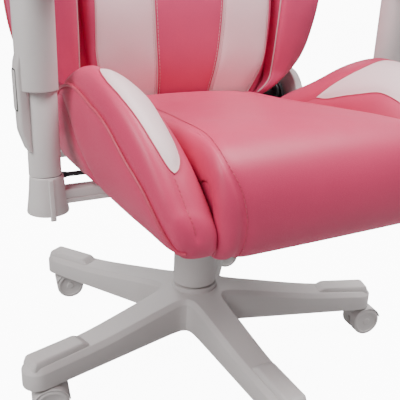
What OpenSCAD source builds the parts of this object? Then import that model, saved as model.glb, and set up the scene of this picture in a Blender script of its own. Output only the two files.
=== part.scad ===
// Racing-style gaming chair. Units are millimetres, +Z is up, the chair faces -Y,
// and the origin is on the floor under the gas lift. Left and right are the sitter's.

/* [Star base] */
// Distance from the lift axis to the tip of an arm
base_r = 350; // [320:5:360]
// Direction of the first arm, counted from +X
first_arm = 123.2; // [90:0.1:160]
// Distance from the lift axis to a caster stem
caster_r = 326; // [300:1:330]
// Width of an arm at its tip
arm_tip_w = 50; // [44:1:54]
// Height of the underside of an arm at its tip
arm_z = 60; // [59:0.5:66]
// Height of the top of the hub
hub_top = 128; // [124:1:128]

/* [Casters] */
// Radius of a wheel
wheel_r = 27.5; // [25:0.5:27.5]
// Half the width of a twin wheel
wheel_half_w = 23; // [20:0.5:25]
// Distance from the stem to the axle
trail = 17; // [12:1:20]
// Direction in which the casters trail
trail_dir = -10; // [-180:1:180]

/* [Gas lift] */
// Radius of the outer tube
tube_r = 25; // [24:0.5:25]
// Radius of the sliding gas cylinder
cylinder_r = 14; // [13:0.5:14]
// Radius of the piston rod
rod_r = 5; // [4:0.5:5]

/* [Seat] */
// Half the width of the cushion at the backrest
seat_back_half = 157; // [150:1:158]
// Half the width of the cushion at the front edge
seat_front_half = 168; // [158:1:168]
// Height of the cushion at the backrest
seat_back_z = 466; // [460:1:468]
// Height of the cushion at the front edge
seat_front_z = 482; // [472:1:484]

/* [Backrest] */
// Angle by which the backrest leans back at rest
lean = 8; // [5:0.5:10]
// Distance of the recline axis behind the lift
recline_y = 118; // [116:1:120]
// Height of the recline axis
recline_z = 445; // [443:1:447]

/* [Armrests] */
// Distance of a post from the middle plane
post_x = 292; // [290:1:296]
// Distance of the posts in front of the lift
post_front = 118; // [112:1:120]
// Radius of the sliding sleeve
sleeve_r = 23.3; // [22.5:0.1:24]

/* [Hidden] */

$fn = 48;
fit = 0.05;

white = [0.84, 0.82, 0.82];
offwhite = [0.88, 0.83, 0.83];
pink = [0.84, 0.50, 0.58];
rose = [0.80, 0.33, 0.42];
steel = [0.12, 0.12, 0.13];
bright = [0.72, 0.73, 0.75];

// ---- curves and lofts ----

// A table is a list of rows [station, value, value ...]. curve() gives column c at station s,
// on a smooth curve through the rows.
function row_at(tb, s, i = 0) = (i >= len(tb) - 2 || s <= tb[i + 1][0]) ? i : row_at(tb, s, i + 1);
function row_slope(tb, i, c) =
  let(a = max(i - 1, 0), b = min(i + 1, len(tb) - 1))
  (tb[b][c] - tb[a][c]) / (tb[b][0] - tb[a][0]);
function curve(tb, s, c = 1) =
  let(
    i = row_at(tb, s),
    h = tb[i + 1][0] - tb[i][0],
    t = (s - tb[i][0]) / h
  )
  tb[i][c] * (2 * t ^ 3 - 3 * t ^ 2 + 1) + row_slope(tb, i, c) * h * (t ^ 3 - 2 * t ^ 2 + t)
  + tb[i + 1][c] * (3 * t ^ 2 - 2 * t ^ 3) + row_slope(tb, i + 1, c) * h * (t ^ 3 - t ^ 2);
function stations(tb, n) = [for (i = [0:n]) tb[0][0] + (tb[len(tb) - 1][0] - tb[0][0]) * i / n];

// A rounded box outline with half sizes a and b; p is 1 for an ellipse and near 0 for a box.
function power(v, p) = sign(v) * abs(v) ^ p;
function squircle(a, b, p, n) =
  [for (i = [0:n - 1]) let(t = 360 * i / n) [a * power(cos(t), p), b * power(sin(t), p)]];

// Solid skin over rings of equal length, closed at both ends.
module loft(rings) {
  n = len(rings[0]);
  m = len(rings);
  sides = [
    for (j = [0:m - 2]) for (i = [0:n - 1])
      let(a = j * n + i, b = j * n + (i + 1) % n)
      for (f = [[a, b, b + n], [a, b + n, a + n]]) f
  ];
  first_cap = [[for (i = [n - 1:-1:0]) i]];
  last_cap = [[for (i = [0:n - 1]) (m - 1) * n + i]];
  polyhedron(
    points = [for (r = rings) for (p = r) p],
    faces = concat(sides, first_cap, last_cap),
    convexity = 6
  );
}

// A bar of round section between two heights, with its lower and upper radius.
module post(r1, r2, z1, z2) translate([0, 0, z1]) cylinder(r1 = r1, r2 = r2, h = z2 - z1);

// A round bar along X between two stations.
module bar_x(r, x1, x2) translate([x1, 0, 0]) rotate([0, 90, 0]) cylinder(r = r, h = x2 - x1);

// A plate in the Y-Z plane between two X stations, from a 2D outline in [y, z].
module plate_x(x1, x2) translate([x1, 0, 0]) rotate([90, 0, 90]) linear_extrude(x2 - x1) children();

// A box from its lowest and highest corners.
module block(lo, hi) translate(lo) cube(hi - lo);

// Places parts drawn on the left (+X): side 1 leaves them there, side -1 mirrors them to the right.
module on_side(side) if (side > 0) children(); else mirror([1, 0, 0]) children();

// ---- star base ----

hub_r = 46;
hub_z = 50;
arm_side_top = 95;
arm_hub_w = 66;
arm_root_top = 124;
pad_in = 245;
pad_out = 340;
pad_top = 105;
stem_r = 5.5;
stem_top = 92;

module arm_plan() {
  polygon([[20, -arm_hub_w / 2], [base_r - arm_tip_w / 2, -arm_tip_w / 2],
    [base_r - arm_tip_w / 2, arm_tip_w / 2], [20, arm_hub_w / 2]]);
  translate([base_r - arm_tip_w / 2, 0]) circle(r = arm_tip_w / 2);
}

module arm_side_view() {
  polygon([[0, arm_z - 6], [120, arm_z - 4], [base_r + 1, arm_z], [base_r + 1, arm_side_top],
    [pad_in - 20, arm_side_top + 3], [hub_r, arm_root_top - 6], [0, arm_root_top]]);
}

module arm() {
  intersection() {
    linear_extrude(200) arm_plan();
    translate([0, 100, 0]) rotate([90, 0, 0]) linear_extrude(200) arm_side_view();
  }
  translate([0, 17, 0]) rotate([90, 0, 0]) linear_extrude(34)
    polygon([[pad_in - 8, arm_side_top - 2], [pad_in + 8, pad_top + 2], [pad_out - 6, pad_top],
      [pad_out, arm_side_top - 2]]);
}

module at_caster(k) rotate([0, 0, first_arm + 72 * (k - 1)]) translate([caster_r, 0, 0])
  rotate([0, 0, -(first_arm + 72 * (k - 1)) + trail_dir]) children();

module star_base() {
  color(white) difference() {
    union() {
      for (k = [0:4]) rotate([0, 0, first_arm + 72 * k]) arm();
      post(hub_r, hub_r, hub_z, hub_top);
    }
    post(tube_r + fit, tube_r + fit, hub_z - 1, hub_top + 1);
    for (k = [1:5]) at_caster(k) post(stem_r + fit, stem_r + fit, arm_z - 5, stem_top + 1);
  }
}

// ---- gas lift ----

tube_z = 40;
tube_top = 245;
tube_wall = 1.5;
lift_top = 322;
cover_h = 88;
cover_wall = 2.2;
cover_mid_r = 35.4;
cover_up_r = 32.2;
cover_mid_z = 156;
housing_z = 285;

module lift_outer_tube() {
  color(bright) difference() {
    post(tube_r, tube_r, tube_z, tube_top);
    post(tube_r - tube_wall, tube_r - tube_wall, tube_z + 5, tube_top + 1);
    post(rod_r + fit, rod_r + fit, tube_z - 1, tube_z + 6);
  }
}

module guide_bush() {
  color(steel) difference() {
    post(tube_r - tube_wall - fit, tube_r - tube_wall - fit, 195, tube_top);
    post(cylinder_r + fit, cylinder_r + fit, 194, tube_top + 1);
  }
}

module piston_rod() {
  color(bright) {
    post(rod_r, rod_r, tube_z - 4, 190);
    post(cylinder_r - 2 - fit, cylinder_r - 2 - fit, 184, 193);
    post(9, 9, tube_z - 6, tube_z - 0.5);
  }
}

module thrust_bearing() {
  color(bright) difference() {
    post(13, 13, tube_z + 5.3, tube_z + 11);
    post(rod_r + fit, rod_r + fit, tube_z + 5, tube_z + 12);
  }
}

module lift_cylinder() {
  color(bright) difference() {
    post(cylinder_r, cylinder_r, 60, lift_top);
    post(cylinder_r - 2, cylinder_r - 2, 66, 296);
    post(rod_r + fit, rod_r + fit, 59, 67);
    post(4 + fit, 4 + fit, 297, lift_top + 1);
  }
}

module valve_pin() color(bright) post(4, 4, 301.5, 331);

module cover_lower() {
  color(white) difference() {
    post(39.2, 38, hub_top + 0.5, hub_top + cover_h);
    post(cover_mid_r + 0.6, cover_mid_r + 0.6, hub_top + 3, hub_top + cover_h + 1);
    post(tube_r + 1, tube_r + 1, hub_top - 1, hub_top + 4);
  }
}

module cover_middle() {
  color(white) difference() {
    post(cover_mid_r, cover_mid_r, cover_mid_z, cover_mid_z + cover_h);
    post(cover_up_r + 0.6, cover_up_r + 0.6, cover_mid_z - 1, cover_mid_z + cover_h + 1);
  }
}

module cover_upper() {
  color(white) difference() {
    post(cover_up_r, cover_up_r, housing_z - cover_h, housing_z - 0.2);
    post(cover_up_r - cover_wall, cover_up_r - cover_wall, housing_z - cover_h - 1, housing_z - 3);
    post(cylinder_r + 1, cylinder_r + 1, housing_z - 4, housing_z + 1);
  }
}

// ---- tilt mechanism ----

pivot_y = -60;
pivot_z = 356;
housing_half = 56;
lever_y = 30;
lever_z = 338;
lever_pivot_x = -44;
knob_y = -100;
plate_z = 372;
plate_t = 4;
frame_z = 384;
tube_side = 20;

module housing_outline() {
  polygon([[-138, 300], [-138, 352], [-110, 364], [-46, 364], [96, 318], [96, 298],
    [70, housing_z], [-122, housing_z]]);
}

module mechanism_housing() {
  color(steel) difference() {
    union() {
      difference() {
        plate_x(-housing_half, housing_half) housing_outline();
        block([-housing_half + 4, -134, housing_z + 4], [housing_half - 4, 92, 400]);
      }
      post(22, 22, housing_z, lift_top);
      for (dy = [-13, 9]) block([lever_pivot_x - 8, lever_y + dy, housing_z + 2],
        [lever_pivot_x + 8, lever_y + dy + 4, lever_z + 6]);
    }
    post(cylinder_r + fit, cylinder_r + fit, housing_z - 1, lift_top + 1);
    translate([0, pivot_y, pivot_z]) bar_x(6 + fit, -80, 80);
    translate([lever_pivot_x, lever_y - 20, lever_z]) rotate([-90, 0, 0]) cylinder(r = 3 + fit, h = 40);
    block([-housing_half - 1, lever_y - 6, lever_z - 12], [-housing_half + 5, lever_y + 6, lever_z + 30]);
    block([-7, knob_y - 22, housing_z - 1], [7, knob_y + 8, housing_z + 5]);
  }
}

module tilt_pivot_pins() {
  color(bright) {
    translate([0, pivot_y, pivot_z]) bar_x(6, -68, 68);
    translate([lever_pivot_x, lever_y - 14, lever_z]) rotate([-90, 0, 0]) cylinder(r = 3, h = 28);
  }
}

// Helix of round wire standing on the knob, its coils resting flat against the housing.
spring_r = 14;
spring_wire = 2;
spring_turns = 4;
spring_steps = 20;
function spring_ring(i) =
  let(a = 360 * i / spring_steps, z = 264.5 + 18 * i / (spring_turns * spring_steps))
  [for (j = [0:7]) let(b = 45 * j, r = spring_r + spring_wire * cos(b))
    [r * cos(a), knob_y + r * sin(a), z + spring_wire * sin(b)]];

module tilt_spring() color(bright) loft([for (i = [spring_turns * spring_steps:-1:0]) spring_ring(i)]);

module tension_knob() {
  color(steel) translate([0, knob_y, 0]) difference() {
    union() {
      post(22, 25, 236, 242);
      post(25, 25, 242, 262);
      for (k = [0:11]) rotate([0, 0, 30 * k]) translate([24, 0, 0]) post(2.5, 2.5, 240, 260);
    }
    post(5 + fit, 5 + fit, 241, 263);
  }
}

module tilt_bolt() {
  color(bright) translate([0, knob_y, 0]) {
    post(5, 5, 242, 371);
    difference() {
      post(11, 11, 366.5, plate_z - 0.2);
      post(5 + fit, 5 + fit, 366, 371);
    }
  }
}

module lift_lever() {
  color(steel) {
    difference() {
      union() {
        translate([0, lever_y, lever_z]) bar_x(4, -104, -10);
        block([lever_pivot_x - 7, lever_y - 8, lever_z - 7], [lever_pivot_x + 7, lever_y + 8, lever_z + 7]);
        block([-12, -6, lever_z - 6], [4, lever_y + 4, lever_z + 3]);
      }
      translate([lever_pivot_x, lever_y - 20, lever_z]) rotate([-90, 0, 0]) cylinder(r = 3 + fit, h = 40);
    }
    hull() {
      translate([-104, lever_y, lever_z]) sphere(r = 4, $fn = 16);
      translate([-138, lever_y, lever_z + 12]) sphere(r = 4, $fn = 16);
    }
    translate([0, lever_y, lever_z + 12]) bar_x(4, -244, -138);
    hull() {
      translate([-226, lever_y, lever_z + 12]) bar_x(4.6, -2, 2);
      translate([-244, lever_y, lever_z + 12]) scale([1, 1.7, 0.6]) bar_x(9, -2, 2);
    }
  }
}

// ---- seat structure ----

module seat_plate() {
  color(steel) difference() {
    union() {
      block([-100, -150, plate_z], [100, 80, plate_z + plate_t]);
      for (x = [-100, 70]) block([x, -150, plate_z], [x + 30, 80, frame_z - 0.1]);
      for (side = [-1, 1]) plate_x(side * 60 - 2.5 + side * 0.5, side * 60 + 2.5 + side * 0.5)
        hull() {
          translate([pivot_y, pivot_z]) circle(r = 12);
          translate([pivot_y - 22, plate_z]) square([44, 2]);
        }
    }
    translate([0, pivot_y, pivot_z]) bar_x(6 + fit, -80, 80);
    translate([0, knob_y, 0]) post(5 + fit, 5 + fit, plate_z - 1, plate_z + plate_t + 1);
    at_plate_bolts() post(4 + fit, 4 + fit, 360, 400);
  }
}

frame_half = 162;
frame_front = -296;
frame_back = 78;
side_bolt_x = 152;

module at_plate_bolts() for (x = [-85, 85], y = [-115, 68]) translate([x, y, 0]) children();
module at_arm_bolts() for (y = [-132, -104]) translate([side_bolt_x, y, 0]) children();
module at_hinge_bolt() translate([side_bolt_x, 68, 0]) children();

module tube_bar(x1, x2, y1, y2) {
  difference() {
    block([x1, y1, frame_z], [x2, y2, frame_z + tube_side]);
    if (x2 - x1 > y2 - y1)
      block([x1 - 1, y1 + 2, frame_z + 2], [x2 + 1, y2 - 2, frame_z + tube_side - 2]);
    else
      block([x1 + 2, y1 - 1, frame_z + 2], [x2 - 2, y2 + 1, frame_z + tube_side - 2]);
  }
}

module seat_frame() {
  color(steel) difference() {
    union() {
      for (side = [-1, 1]) {
        x = side * (frame_half - tube_side / 2);
        tube_bar(x - tube_side / 2, x + tube_side / 2, frame_front, frame_back);
      }
      for (y = [frame_front, frame_back - tube_side, -125])
        tube_bar(-frame_half + tube_side, frame_half - tube_side, y, y + tube_side);
    }
    at_plate_bolts() post(4 + fit, 4 + fit, 380, 410);
    for (side = [-1, 1]) on_side(side) {
      at_arm_bolts() post(4 + fit, 4 + fit, 380, 410);
      at_hinge_bolt() post(4 + fit, 4 + fit, 380, 410);
    }
  }
}

module bolt(head_z) {
  post(4, 4, head_z - 1, frame_z + tube_side + 1);
  post(7, 7, head_z - 5, head_z - 0.1);
}

module seat_bolts() {
  color(bright) {
    at_plate_bolts() bolt(plate_z);
    for (side = [-1, 1]) on_side(side) {
      at_arm_bolts() bolt(leg_z);
      at_hinge_bolt() bolt(378);
    }
  }
}

module seat_webbing() {
  half = frame_half - tube_side - 0.3;
  color(steel) for (start = [-270, -94], i = [0:3])
    block([-half, start + 38 * i, 399], [half, start + 38 * i + 26, 402]);
}

// ---- seat upholstery ----

// Side view of the cushion, from the bottom of the rear face round the top to the front lip.
seat_rear_y = 57;
seat_top = [[seat_rear_y, seat_back_z - 7], [seat_rear_y - 10, seat_back_z], [-60, seat_back_z + 3],
  [-180, seat_front_z - 5], [-270, seat_front_z], [-318, seat_front_z - 4], [-344, seat_front_z - 20],
  [-358, seat_front_z - 48], [-363, seat_front_z - 82], [-361, seat_front_z - 115], [-352, 352],
  [-336, 348], [-320, 356], [-312, 382], [-302, 406]];
seat_outline = concat([[seat_rear_y, 406]], seat_top);
seat_mid = [-130, 440];
function seat_half(y) = seat_back_half
  + (seat_front_half - seat_back_half) * (seat_rear_y - y) / (seat_rear_y + 340);
// Rings across the width: [share of the half width, crown drop, inset of the outline].
seat_rings = [[-1, 14, 0.9], [-0.985, 8, 0.96], [-0.93, 3, 0.99], [-0.6, 0.5, 1], [0, 0, 1],
  [0.6, 0.5, 1], [0.93, 3, 0.99], [0.985, 8, 0.96], [1, 14, 0.9]];
function seat_ring(s) = [for (p = seat_outline)
  let(
    y = seat_mid[0] + (p[0] - seat_mid[0]) * (1 - (1 - s[2]) * 0.35),
    drop = p[1] > 430 ? s[1] : 0
  )
  [s[0] * seat_half(y), y, max(p[1] - drop, p[1] > 400 ? 406 : 348)]];

module seat_cushion() color(pink) loft([for (s = seat_rings) seat_ring(s)]);

// Bolster stations: [y, inner x, outer x, bottom z, top z].
bolster = [[-358, 184, 212, 374, 386], [-352, 176, 221, 367, 402], [-330, 172, 231, 368, 438],
  [-300, 171, 240, 372, 478], [-260, 170, 248, 376, 514], [-210, 168, 254, 381, 540],
  [-150, 166, 257, 386, 546], [-90, 165, 257, 387, 543], [-30, 165, 256, 389, 530],
  [20, 168, 250, 394, 508], [42, 176, 242, 402, 488]];
// The section as shares of width and height, up the inner side and down the outer side.
bolster_section = [[0.18, 0], [0.02, 0.1], [0, 0.3], [0.02, 0.5], [0.2, 0.74], [0.45, 0.92],
  [0.68, 1], [0.86, 0.97], [0.97, 0.86], [1, 0.66], [0.98, 0.42], [0.9, 0.2], [0.74, 0.04]];
function bolster_ring(y) =
  let(
    x1 = curve(bolster, y, 1),
    x2 = curve(bolster, y, 2),
    z1 = curve(bolster, y, 3),
    z2 = curve(bolster, y, 4)
  )
  [for (p = bolster_section) [x1 + (x2 - x1) * p[0], y, z1 + (z2 - z1) * p[1]]];

module seat_bolster(side) color(pink) on_side(side)
  loft([for (y = stations(bolster, 16)) bolster_ring(y)]);
module seat_bolster_left() seat_bolster(1);
module seat_bolster_right() seat_bolster(-1);

// ---- armrests ----

flare_z = 350;
flare_top = 402;
leg_z = 356;
leg_top = 384;
sleeve_z = 500;
sleeve_top = 650;
inner_post_r = 16;
button_z = 488;
button_h = 52;
pad_x = 47;
pad_half_l = 122;
arm_pad_z = 659;
arm_pad_top = 700;

module at_post(side) on_side(side) translate([post_x, -post_front, 0]) children();

module arm_bracket(side) {
  color(white) difference() {
    union() {
      at_post(side) {
        post(27.5, 21.5, flare_z, flare_top - 0.3);
        translate([-8, -27.5, 0]) block([0, 0, flare_z - 4], [6, 8, flare_z + 8]);
      }
      on_side(side) block([115, -post_front - 22, leg_z], [post_x - 10, -post_front + 22, leg_top - 0.1]);
    }
    at_post(side) post(inner_post_r + fit, inner_post_r + fit, 366, flare_top + 1);
    on_side(side) at_arm_bolts() post(4 + fit, 4 + fit, 350, 400);
  }
}
module arm_bracket_left() arm_bracket(1);
module arm_bracket_right() arm_bracket(-1);

module arm_post(side) {
  color(white) at_post(side) {
    post(inner_post_r, inner_post_r, 366, 600);
    post(19.5, 18.6, flare_top, sleeve_z);
  }
}
module arm_post_left() arm_post(1);
module arm_post_right() arm_post(-1);

// Side view of the button housing on the outside of the sleeve, in [x, z].
module bump_outline() {
  polygon([[21, 434], [37, 461], [38, 536], [23, 566], [12, 566], [12, sleeve_z], [21, sleeve_z]]);
}

module arm_sleeve(side) {
  color(white) at_post(side) difference() {
    union() {
      post(sleeve_r, sleeve_r, sleeve_z, sleeve_top);
      translate([0, 13, 0]) rotate([90, 0, 0]) linear_extrude(26) bump_outline();
    }
    post(20.4, 20.4, sleeve_z - 1, sleeve_z + 31);
    post(inner_post_r + fit, inner_post_r + fit, sleeve_z, 640);
    post(8 + fit, 8 + fit, 635, sleeve_top + 1);
    block([30, -9.5, button_z - 1.5], [40, 9.5, button_z + button_h - 1.5]);
  }
}
module arm_sleeve_left() arm_sleeve(1);
module arm_sleeve_right() arm_sleeve(-1);

module arm_button(side) color(white) at_post(side)
  block([33.5, -9, button_z], [38.6, 9, button_z + button_h - 3]);
module arm_button_left() arm_button(1);
module arm_button_right() arm_button(-1);

module arm_carrier(side) {
  color(steel) at_post(side) {
    post(8, 8, 642, sleeve_top + 1);
    post(24, 24, sleeve_top + 0.3, 656);
    block([-25, -65, 656 - 1], [25, 65, 665]);
  }
}
module arm_carrier_left() arm_carrier(1);
module arm_carrier_right() arm_carrier(-1);

// Armrest pad: an oval cushion with a channel under it that runs on the carrier's rail.
// Its rings are [share of the half width, height].
arm_pad_rings = [[0.93, 0], [0.99, 4], [1, 12], [1, 26], [0.97, 34], [0.9, 39],
  [0.8, arm_pad_top - arm_pad_z]];
module arm_pad(side) {
  color(steel) at_post(side) difference() {
    loft([for (r = arm_pad_rings)
      [for (p = squircle(pad_x * r[0], pad_half_l - pad_x * (1 - r[0]), 0.62, 28))
        [p[0], p[1] - 7, arm_pad_z + r[1]]]]);
    block([-25.6, -95, arm_pad_z - 2], [25.6, 95, 665.6]);
  }
}
module arm_pad_left() arm_pad(1);
module arm_pad_right() arm_pad(-1);

// ---- recline hinge ----

hinge_plate_x = 236;
module hinge_plate(side) {
  color(steel) on_side(side) difference() {
    union() {
      plate_x(hinge_plate_x, hinge_plate_x + 6) hull() {
        translate([recline_y, recline_z]) circle(r = 24);
        translate([52, 378]) square([34, 4]);
      }
      block([142, 52, 378], [hinge_plate_x + 6, 86, frame_z - 0.1]);
    }
    translate([0, recline_y, recline_z]) bar_x(6 + fit, 200, 260);
    at_hinge_bolt() post(4 + fit, 4 + fit, 370, 390);
  }
}
module hinge_plate_left() hinge_plate(1);
module hinge_plate_right() hinge_plate(-1);

lever_hub = [70, 425];
cover_x = 252;
cover_out = 270;
module hinge_cover(side) {
  color(white) on_side(side) {
    difference() {
      union() {
        plate_x(cover_x, cover_out) hull() {
          translate([recline_y, recline_z]) circle(r = 52);
          translate([50, 392]) circle(r = 24);
        }
        block([214, 27, 379], [cover_out - 4, 42, 388]);
      }
      translate([0, lever_hub[0], lever_hub[1]]) bar_x(5 + fit, cover_x + 4, cover_out + 1);
    }
  }
}
module hinge_cover_left() hinge_cover(1);
module hinge_cover_right() hinge_cover(-1);

module recline_lever() {
  color(steel) mirror([1, 0, 0]) {
    translate([0, lever_hub[0], lever_hub[1]]) bar_x(5, cover_x + 5, cover_out + 4);
    plate_x(cover_out + 0.5, cover_out + 8) {
      translate(lever_hub) circle(r = 11);
      hull() {
        translate(lever_hub) circle(r = 7);
        translate([-36, 436]) circle(r = 6);
      }
      hull() {
        translate([-36, 436]) circle(r = 7);
        translate([10, 430]) circle(r = 8);
      }
    }
  }
}

// ---- backrest ----

back_y = 110;
back_z = 440;
// Outline of the backrest: [height along it, half width].
back_half = [[-22, 140], [0, 165], [18, 186], [38, 218], [62, 245], [100, 266], [160, 277],
  [260, 278], [360, 264], [440, 262], [520, 276], [570, 280], [615, 266], [660, 222], [700, 186],
  [760, 166], [810, 154], [842, 128], [860, 88]];
// Centre pad: [height, half width, front face].
pad_table = [[-8, 126, -38], [2, 136, -46], [22, 150, -54], [60, 166, -70], [100, 172, -79], [180, 176, -88],
  [300, 172, -80], [420, 160, -70], [520, 146, -64], [600, 122, -60], [680, 104, -62],
  [760, 112, -68], [808, 108, -64], [832, 96, -54], [842, 84, -40]];
// Wings: [height, inner x, outer x, front face].
wing_table = [
  [28, 190, 200, -40], [36, 190, 208, -52], [48, 189, 228, -58], [72, 187, 248, -68],
  [110, 188, 262, -82], [180, 189, 273, -100], [270, 188, 275, -110], [360, 184, 261, -104],
  [440, 176, 259, -92], [520, 164, 272, -78], [570, 154, 276, -66], [600, 150, 262, -48],
  [621, 156, 240, -34]
];
body_front = -28;
body_rear = 32;
slot_x = 144;
slot_s = 668;
slot_w = 40;
slot_h = 84;

module on_back() translate([0, back_y, back_z]) rotate([-lean, 0, 0]) children();

module slot_shape(grow) {
  hull() {
    translate([slot_x + 4, slot_s - slot_h / 2 + slot_w / 2]) circle(r = slot_w / 2 + grow);
    translate([slot_x - 8, slot_s + slot_h / 2 - slot_w / 2]) circle(r = slot_w / 2 + grow);
  }
}
module slot_cut(grow, y1, y2) for (side = [-1, 1]) on_side(side)
  translate([0, y2, 0]) rotate([90, 0, 0]) linear_extrude(y2 - y1) slot_shape(grow);

module back_frame_tubes(r) {
  for (side = [-1, 1]) translate([side * 82, 0, 0]) post(r, r, 6, 700);
  for (s = [120, 360, 700]) translate([0, 0, s]) bar_x(r, -82, 82);
}

module back_frame() {
  color(steel) {
    on_back() back_frame_tubes(10);
    translate([0, recline_y, recline_z]) {
      bar_x(9, -230, 230);
      for (side = [-1, 1]) on_side(side) {
        bar_x(6, 229, 250);
        bar_x(22, 229, 234);
      }
    }
  }
}

// The body is thinner at its top and bottom ends.
function body_thin(s) = s < 40 ? 0.55 + 0.45 * sin(90 * (s + 22) / 62)
  : s > 800 ? 0.5 + 0.5 * cos(90 * (s - 800) / 60) : 1;
function body_ring(s) = [for (p = squircle(curve(back_half, s), 1, 0.45, 32))
  let(y = p[1] < 0 ? p[1] * -body_front : p[1] * body_rear)
  [p[0], y * body_thin(s), s]];

module back_body() {
  color(rose) on_back() difference() {
    loft([for (s = concat(stations([[-22], [100]], 8), stations([[140], [560]], 8),
      stations([[590], [860]], 12))) body_ring(s)]);
    slot_cut(0, -60, 60);
    for (side = [-1, 1]) block([side * 82 - 11, -11, -60], [side * 82 + 11, 11, 711]);
    for (s = [120, 360, 700]) block([-80, -11, s - 11], [80, 11, s + 11]);
    block([-200, -4, -60], [200, 18, 17]);
  }
}

// Section of the pad as shares of its half width and of its thickness.
pad_section = [[-0.97, 0], [-1, 0.3], [-0.985, 0.7], [-0.92, 0.9], [-0.8, 0.97], [-0.4, 1], [0, 1],
  [0.4, 1], [0.8, 0.97], [0.92, 0.9], [0.985, 0.7], [1, 0.3], [0.97, 0]];
function skin_y(tb, s, c) = curve(tb, s, c) - body_front + 0.5;
function pad_ring(s) = [for (p = pad_section)
  [curve(pad_table, s) * p[0], body_front - 0.5 + skin_y(pad_table, s, 2) * p[1], s]];

module back_pad() color(offwhite) on_back()
  loft([for (s = stations(pad_table, 26)) pad_ring(s)]);

// Section of a wing as shares of its width, from its inner side outwards, and of its thickness.
wing_section = [[0.04, 0], [0, 0.5], [0.02, 0.78], [0.12, 0.9], [0.4, 0.97], [0.7, 1], [0.9, 0.94],
  [0.98, 0.78], [1, 0.5], [0.97, 0]];
function wing_ring(s) =
  let(x1 = curve(wing_table, s, 1), x2 = curve(wing_table, s, 2))
  [for (p = wing_section)
    [x1 + (x2 - x1) * p[0], body_front - 0.5 + skin_y(wing_table, s, 3) * p[1], s]];

module back_wing(side) color(rose) on_side(side) on_back()
  loft([for (s = stations(wing_table, 18)) wing_ring(s)]);
module back_wing_left() back_wing(1);
module back_wing_right() back_wing(-1);

module slot_bezels() {
  color(steel) on_back() difference() {
    slot_cut(0, body_front - 4, body_rear + 4);
    slot_cut(-3, body_front - 5, body_rear + 5);
  }
}

pillow_table = [[640, 104], [652, 118], [690, 126], [740, 124], [778, 116], [790, 100]];
function pillow_ring(s) =
  let(half = curve(pillow_table, s), thick = 24 * sin(20 + 140 * (s - 640) / 150))
  [for (p = squircle(half, thick, 0.6, 24)) [p[0], p[1] - 98, s]];

module head_pillow() color(offwhite) on_back()
  loft([for (s = stations([[640], [790]], 10)) pillow_ring(s)]);

strap_x = 135;
strap_t = 2;
strap_front = -72;
strap_run = 112;
module head_strap() {
  color(steel) on_back() translate([0, 0, slot_s - 12]) linear_extrude(24) difference() {
    translate([-strap_x, strap_front]) square([2 * strap_x, strap_run]);
    translate([-strap_x + strap_t, strap_front + strap_t])
      square([2 * strap_x - 2 * strap_t, strap_run - 2 * strap_t]);
  }
}

// ---- casters ----

axle_r = 3;
web_half = 3.5;
wheel_in = 4.6;
hood_r = wheel_r + 2.6;
module about_axle() translate([trail, 0, wheel_r]) rotate([90, 0, 0]) children();

module caster_housing(k) {
  color(white) at_caster(k) difference() {
    union() {
      post(stem_r, stem_r, 48, stem_top);
      post(10, 10, 40, arm_z - 1);
      about_axle() translate([0, 0, -web_half]) cylinder(r = wheel_r - 4, h = 2 * web_half);
      difference() {
        about_axle() translate([0, 0, -wheel_half_w]) cylinder(r = hood_r, h = 2 * wheel_half_w);
        about_axle() translate([0, 0, -wheel_half_w - 1])
          cylinder(r = wheel_r + 0.8, h = 2 * wheel_half_w + 2);
        block([-50, -50, -5], [80, 50, wheel_r + 8]);
      }
      intersection() {
        block([-10, -web_half, wheel_r + 4], [trail + 20, web_half, arm_z - 3]);
        about_axle() translate([0, 0, -20]) cylinder(r = hood_r, h = 40);
      }
    }
    for (side = [-1, 1]) about_axle() translate([0, 0, side * 14 - 9.6])
      cylinder(r = wheel_r + 0.8, h = 19.2);
    about_axle() translate([0, 0, -10]) cylinder(r = axle_r + fit, h = 20);
  }
}

module wheel_profile() {
  polygon([[0, wheel_in], [wheel_r - 1.5, wheel_in], [wheel_r, wheel_in + 1.5], [wheel_r, wheel_half_w - 4],
    [wheel_r - 1.5, wheel_half_w - 1.2], [wheel_r - 4, wheel_half_w], [wheel_r - 7, wheel_half_w],
    [wheel_r - 8, wheel_half_w - 1.2], [0, wheel_half_w - 1.2]]);
}

module caster_wheels(k) {
  color(white) at_caster(k) about_axle() {
    for (side = [0, 1]) mirror([0, 0, side]) rotate_extrude() wheel_profile();
    translate([0, 0, -10]) cylinder(r = axle_r, h = 20);
  }
}

star_base();
lift_outer_tube();
guide_bush();
cover_lower();
cover_middle();
piston_rod();
thrust_bearing();
lift_cylinder();
cover_upper();
mechanism_housing();
tilt_spring();
tilt_pivot_pins();
tension_knob();
lift_lever();
valve_pin();
seat_plate();
tilt_bolt();
seat_bolts();
seat_frame();
seat_webbing();
seat_cushion();
seat_bolster_left();
seat_bolster_right();
arm_bracket_left();
arm_bracket_right();
hinge_plate_left();
hinge_plate_right();
hinge_cover_left();
hinge_cover_right();
recline_lever();
back_frame();
back_body();
back_pad();
back_wing_left();
back_wing_right();
slot_bezels();
head_pillow();
head_strap();
arm_post_left();
arm_post_right();
arm_sleeve_left();
arm_sleeve_right();
arm_button_left();
arm_button_right();
arm_carrier_left();
arm_carrier_right();
arm_pad_left();
arm_pad_right();
caster_housing(1);  // caster_housing_1
caster_housing(2);  // caster_housing_2
caster_housing(3);  // caster_housing_3
caster_housing(4);  // caster_housing_4
caster_housing(5);  // caster_housing_5
caster_wheels(1);  // caster_wheels_1
caster_wheels(2);  // caster_wheels_2
caster_wheels(3);  // caster_wheels_3
caster_wheels(4);  // caster_wheels_4
caster_wheels(5);  // caster_wheels_5
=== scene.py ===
"""Looks of a racing-style gaming chair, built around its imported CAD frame.

Sizes in this file are millimetres in the row frame: +Z is up, the chair faces -Y, and the
origin is on the floor under the gas lift. Meshes are turned into metres when they are made.
"""

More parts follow.
